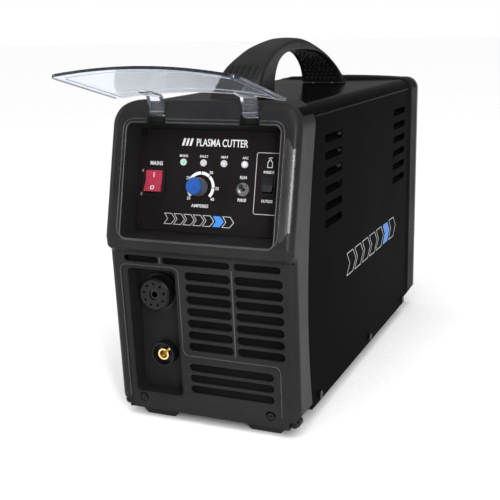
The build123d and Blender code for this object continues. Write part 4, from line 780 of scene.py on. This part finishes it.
def handle_pads(tree):
    """Rows of small smooth pads under the handle's rear half."""
    line = [(212.0, 380.5), (262.0, 378.0), (300.0, 371.0), (330.0, 358.0), (346.0, 344.0), (350.5, 336.0)]
    run = [0.0]
    for a, b in zip(line, line[1:]):
        run.append(run[-1] + math.dist(a, b))
    bm = bmesh.new()
    for row in range(int(run[-1] / PAD_PITCH)):
        s = PAD_PITCH * (row + 0.5)
        k = max(i for i in range(len(run) - 1) if run[i] <= s)
        a, b = line[k], line[k + 1]
        share = (s - run[k]) / (run[k + 1] - run[k])
        y = a[0] + (b[0] - a[0]) * share
        z = a[1] + (b[1] - a[1]) * share
        along = Vector((0.0, b[0] - a[0], b[1] - a[1])).normalized()
        into = Vector((0.0, -along.z, along.y))
        if into.z < 0 and into.y < 0:
            into = -into
        half = handle_half_width(y) - PAD_EDGE
        count = int(2 * half / PAD_SPACING)
        for column in range(count + 1):
            x = (column - count / 2) * PAD_SPACING + (PAD_SPACING / 2 if row % 2 else 0.0)
            if abs(x) > half:
                continue
            start = at(x, y, z) - into * 0.008
            spot, normal = tree.ray_cast(start, into)[:2]
            if spot is None or (spot - start).length > 0.02:
                continue
            pad(bm, spot, normal, Vector((1, 0, 0)), 4.3, 5.0, 0.9)
    finish_piece(bm, "handle_pads", M["pad"], "case")


def pad(bm, spot, normal, across, width, length, height):
    """One low pad with drawn-in sides and a crowned top."""
    side = (across - normal * across.dot(normal)).normalized()
    along = normal.cross(side)
    rings = []
    for inset, lift in ((0.0, -0.3), (0.25, height * 0.7), (0.8, height)):
        outline = rounded(box_outline(-width / 2 + inset, width / 2 - inset, -length / 2 + inset,
                                      length / 2 - inset), max(0.3, 1.0 - inset), steps=2)
        rings.append([bm.verts.new(spot + (side * a + along * b + normal * lift) / 1000)
                      for a, b in outline])
    join_rings(bm, rings)


def handle_groove_shade(tree):
    """The short ribs across the front leg of the handle, with thin flat near-black strips between them that
    are painted shade standing in for grooves.
    """
    ribs = bmesh.new()
    shade_strips = bmesh.new()
    for i in range(-3, 4):
        for offset, bm, width, height in ((-1.6, ribs, 2.2, 1.1), (1.6, shade_strips, 2.6, 0.12)):
            x = 7.4 * i + offset
            if abs(x) > 22:
                continue
            path = []
            normals = []
            for y in (64.0, 68.0, 72.0, 76.0, 80.0, 83.0):
                spot, normal = tree.ray_cast(at(x, y, 420.0), Vector((0, 0, -1)))[:2]
                path.append(spot)
                normals.append(normal)
            sweep(bm, path, normals, ROUND, width, height, sink=0.4)
    finish_piece(ribs, "handle_ribs", M["handle"], "case")
    # flat dark strips, painted shade of the grooves between the ribs
    finish_piece(shade_strips, "handle_groove_shade", M["groove_shade"], "case")


panel_printing()
side_printing("right", on_right, Vector((1, 0, 0)))
side_printing("left", on_left, Vector((-1, 0, 0)))
rocker_marks()
recess_beads()
grille_mouldings()
handle_tree = handle_body()
handle_pads(handle_tree)
handle_groove_shade(handle_tree)
visor_edging()
frame_crown()
rear_rim_strip()


# ---------------------------------------------------------------- stage, light and camera
FLOOR_RADII = (0.6, 2.0, 6.0, 30.0)
FLOOR_SIDES = 48


def make_stage():
    """A wide pale floor."""
    bm = bmesh.new()
    angles = [2 * math.pi * i / FLOOR_SIDES for i in range(FLOOR_SIDES)]
    rings = [[bm.verts.new((r * math.cos(a), r * math.sin(a), 0.0)) for a in angles]
             for r in FLOOR_RADII]
    centre = bm.verts.new((0, 0, 0))
    for i in range(FLOOR_SIDES):
        bm.faces.new((centre, rings[0][i], rings[0][(i + 1) % FLOOR_SIDES]))
    for inner, outer in zip(rings, rings[1:]):
        for i in range(FLOOR_SIDES):
            j = (i + 1) % FLOOR_SIDES
            bm.faces.new((inner[i], outer[i], outer[j], inner[j]))
    mesh = bpy.data.meshes.new("floor")
    bm.to_mesh(mesh)
    bm.free()
    floor = bpy.data.objects.new("floor", mesh)
    bpy.context.scene.collection.objects.link(floor)
    mesh.materials.append(plain("floor_paper", (0.84, 0.84, 0.84), 0.9, spec=0.1, grain=200.0,
                                depth=0.00002, vary=0.02))


def make_world():
    """A soft studio: pale where it is seen, dimmer towards the horizon where it is reflected."""
    world = bpy.data.worlds.new("studio")
    bpy.context.scene.world = world
    world.use_nodes = True
    tree = world.node_tree
    background = tree.nodes["Background"]
    path = tree.nodes.new("ShaderNodeLightPath")
    seen = tree.nodes.new("ShaderNodeMath")
    seen.operation = "MAXIMUM"
    tree.links.new(path.outputs["Is Camera Ray"], seen.inputs[0])
    tree.links.new(path.outputs["Is Transmission Ray"], seen.inputs[1])
    coords = tree.nodes.new("ShaderNodeTexCoord")
    split = tree.nodes.new("ShaderNodeSeparateXYZ")
    tree.links.new(coords.outputs["Generated"], split.inputs["Vector"])
    height = mapped(tree, split.outputs["Z"], -0.1, 0.9, 0.10, 0.45)
    shade = blended(tree, height, (0.0, 0.0, 0.0), (1.0, 1.0, 1.0))
    tone = blended(tree, seen.outputs[0], shade, (1.0, 1.0, 1.0))
    tree.links.new(tone, background.inputs["Color"])
    background.inputs["Strength"].default_value = 1.0


def softbox(name, place, target, size, power):
    """One rectangular soft light."""
    light = bpy.data.lights.new(name, "AREA")
    light.shape = "RECTANGLE"
    light.size, light.size_y = size
    light.energy = power
    lamp = bpy.data.objects.new(name, light)
    bpy.context.scene.collection.objects.link(lamp)
    lamp.location = place
    lamp.rotation_mode = "QUATERNION"
    lamp.rotation_quaternion = (Vector(target) - Vector(place)).to_track_quat("-Z", "Y")


def sky_lamp(name, towards, strength):
    """A wide soft light from one direction, even over the whole floor."""
    light = bpy.data.lights.new(name, "SUN")
    light.energy = strength
    light.angle = math.radians(70.0)
    lamp = bpy.data.objects.new(name, light)
    bpy.context.scene.collection.objects.link(lamp)
    lamp.rotation_mode = "QUATERNION"
    lamp.rotation_quaternion = Vector(towards).to_track_quat("Z", "Y")


def make_camera():
    """The camera at the photograph's angle."""
    right = Vector((0.921369, 0.388122, -0.020988))
    forward = Vector((-0.38156, 0.892856, -0.239206))
    up = right.cross(forward)
    data = bpy.data.cameras.new("camera")
    camera = bpy.data.objects.new("camera", data)
    bpy.context.scene.collection.objects.link(camera)
    turn = Matrix((right, up, -forward)).transposed().to_4x4()
    camera.matrix_world = Matrix.Translation(at(406.25, -865.74, 408.29)) @ turn
    data.lens = 64.81
    data.sensor_width = 36.0
    data.clip_start = 0.05
    data.clip_end = 60.0
    bpy.context.scene.camera = camera


make_stage()
make_world()
# a wide light from above, then three soft ones: right of the camera, high in front, and to the left
sky_lamp("sky", (0.2, -0.3, 1.0), 2.7)
softbox("right", (0.86, -1.36, 0.55), (0.1, -0.2, 0.27), (0.16, 0.8), 20)
softbox("front", (0.5, -1.9, 1.3), (0.0, -0.1, 0.15), (1.0, 0.6), 4)
softbox("left", (-1.6, -0.9, 0.9), (0.0, -0.1, 0.2), (0.8, 1.2), 14)
make_camera()
bpy.context.scene.view_settings.view_transform = "Standard"
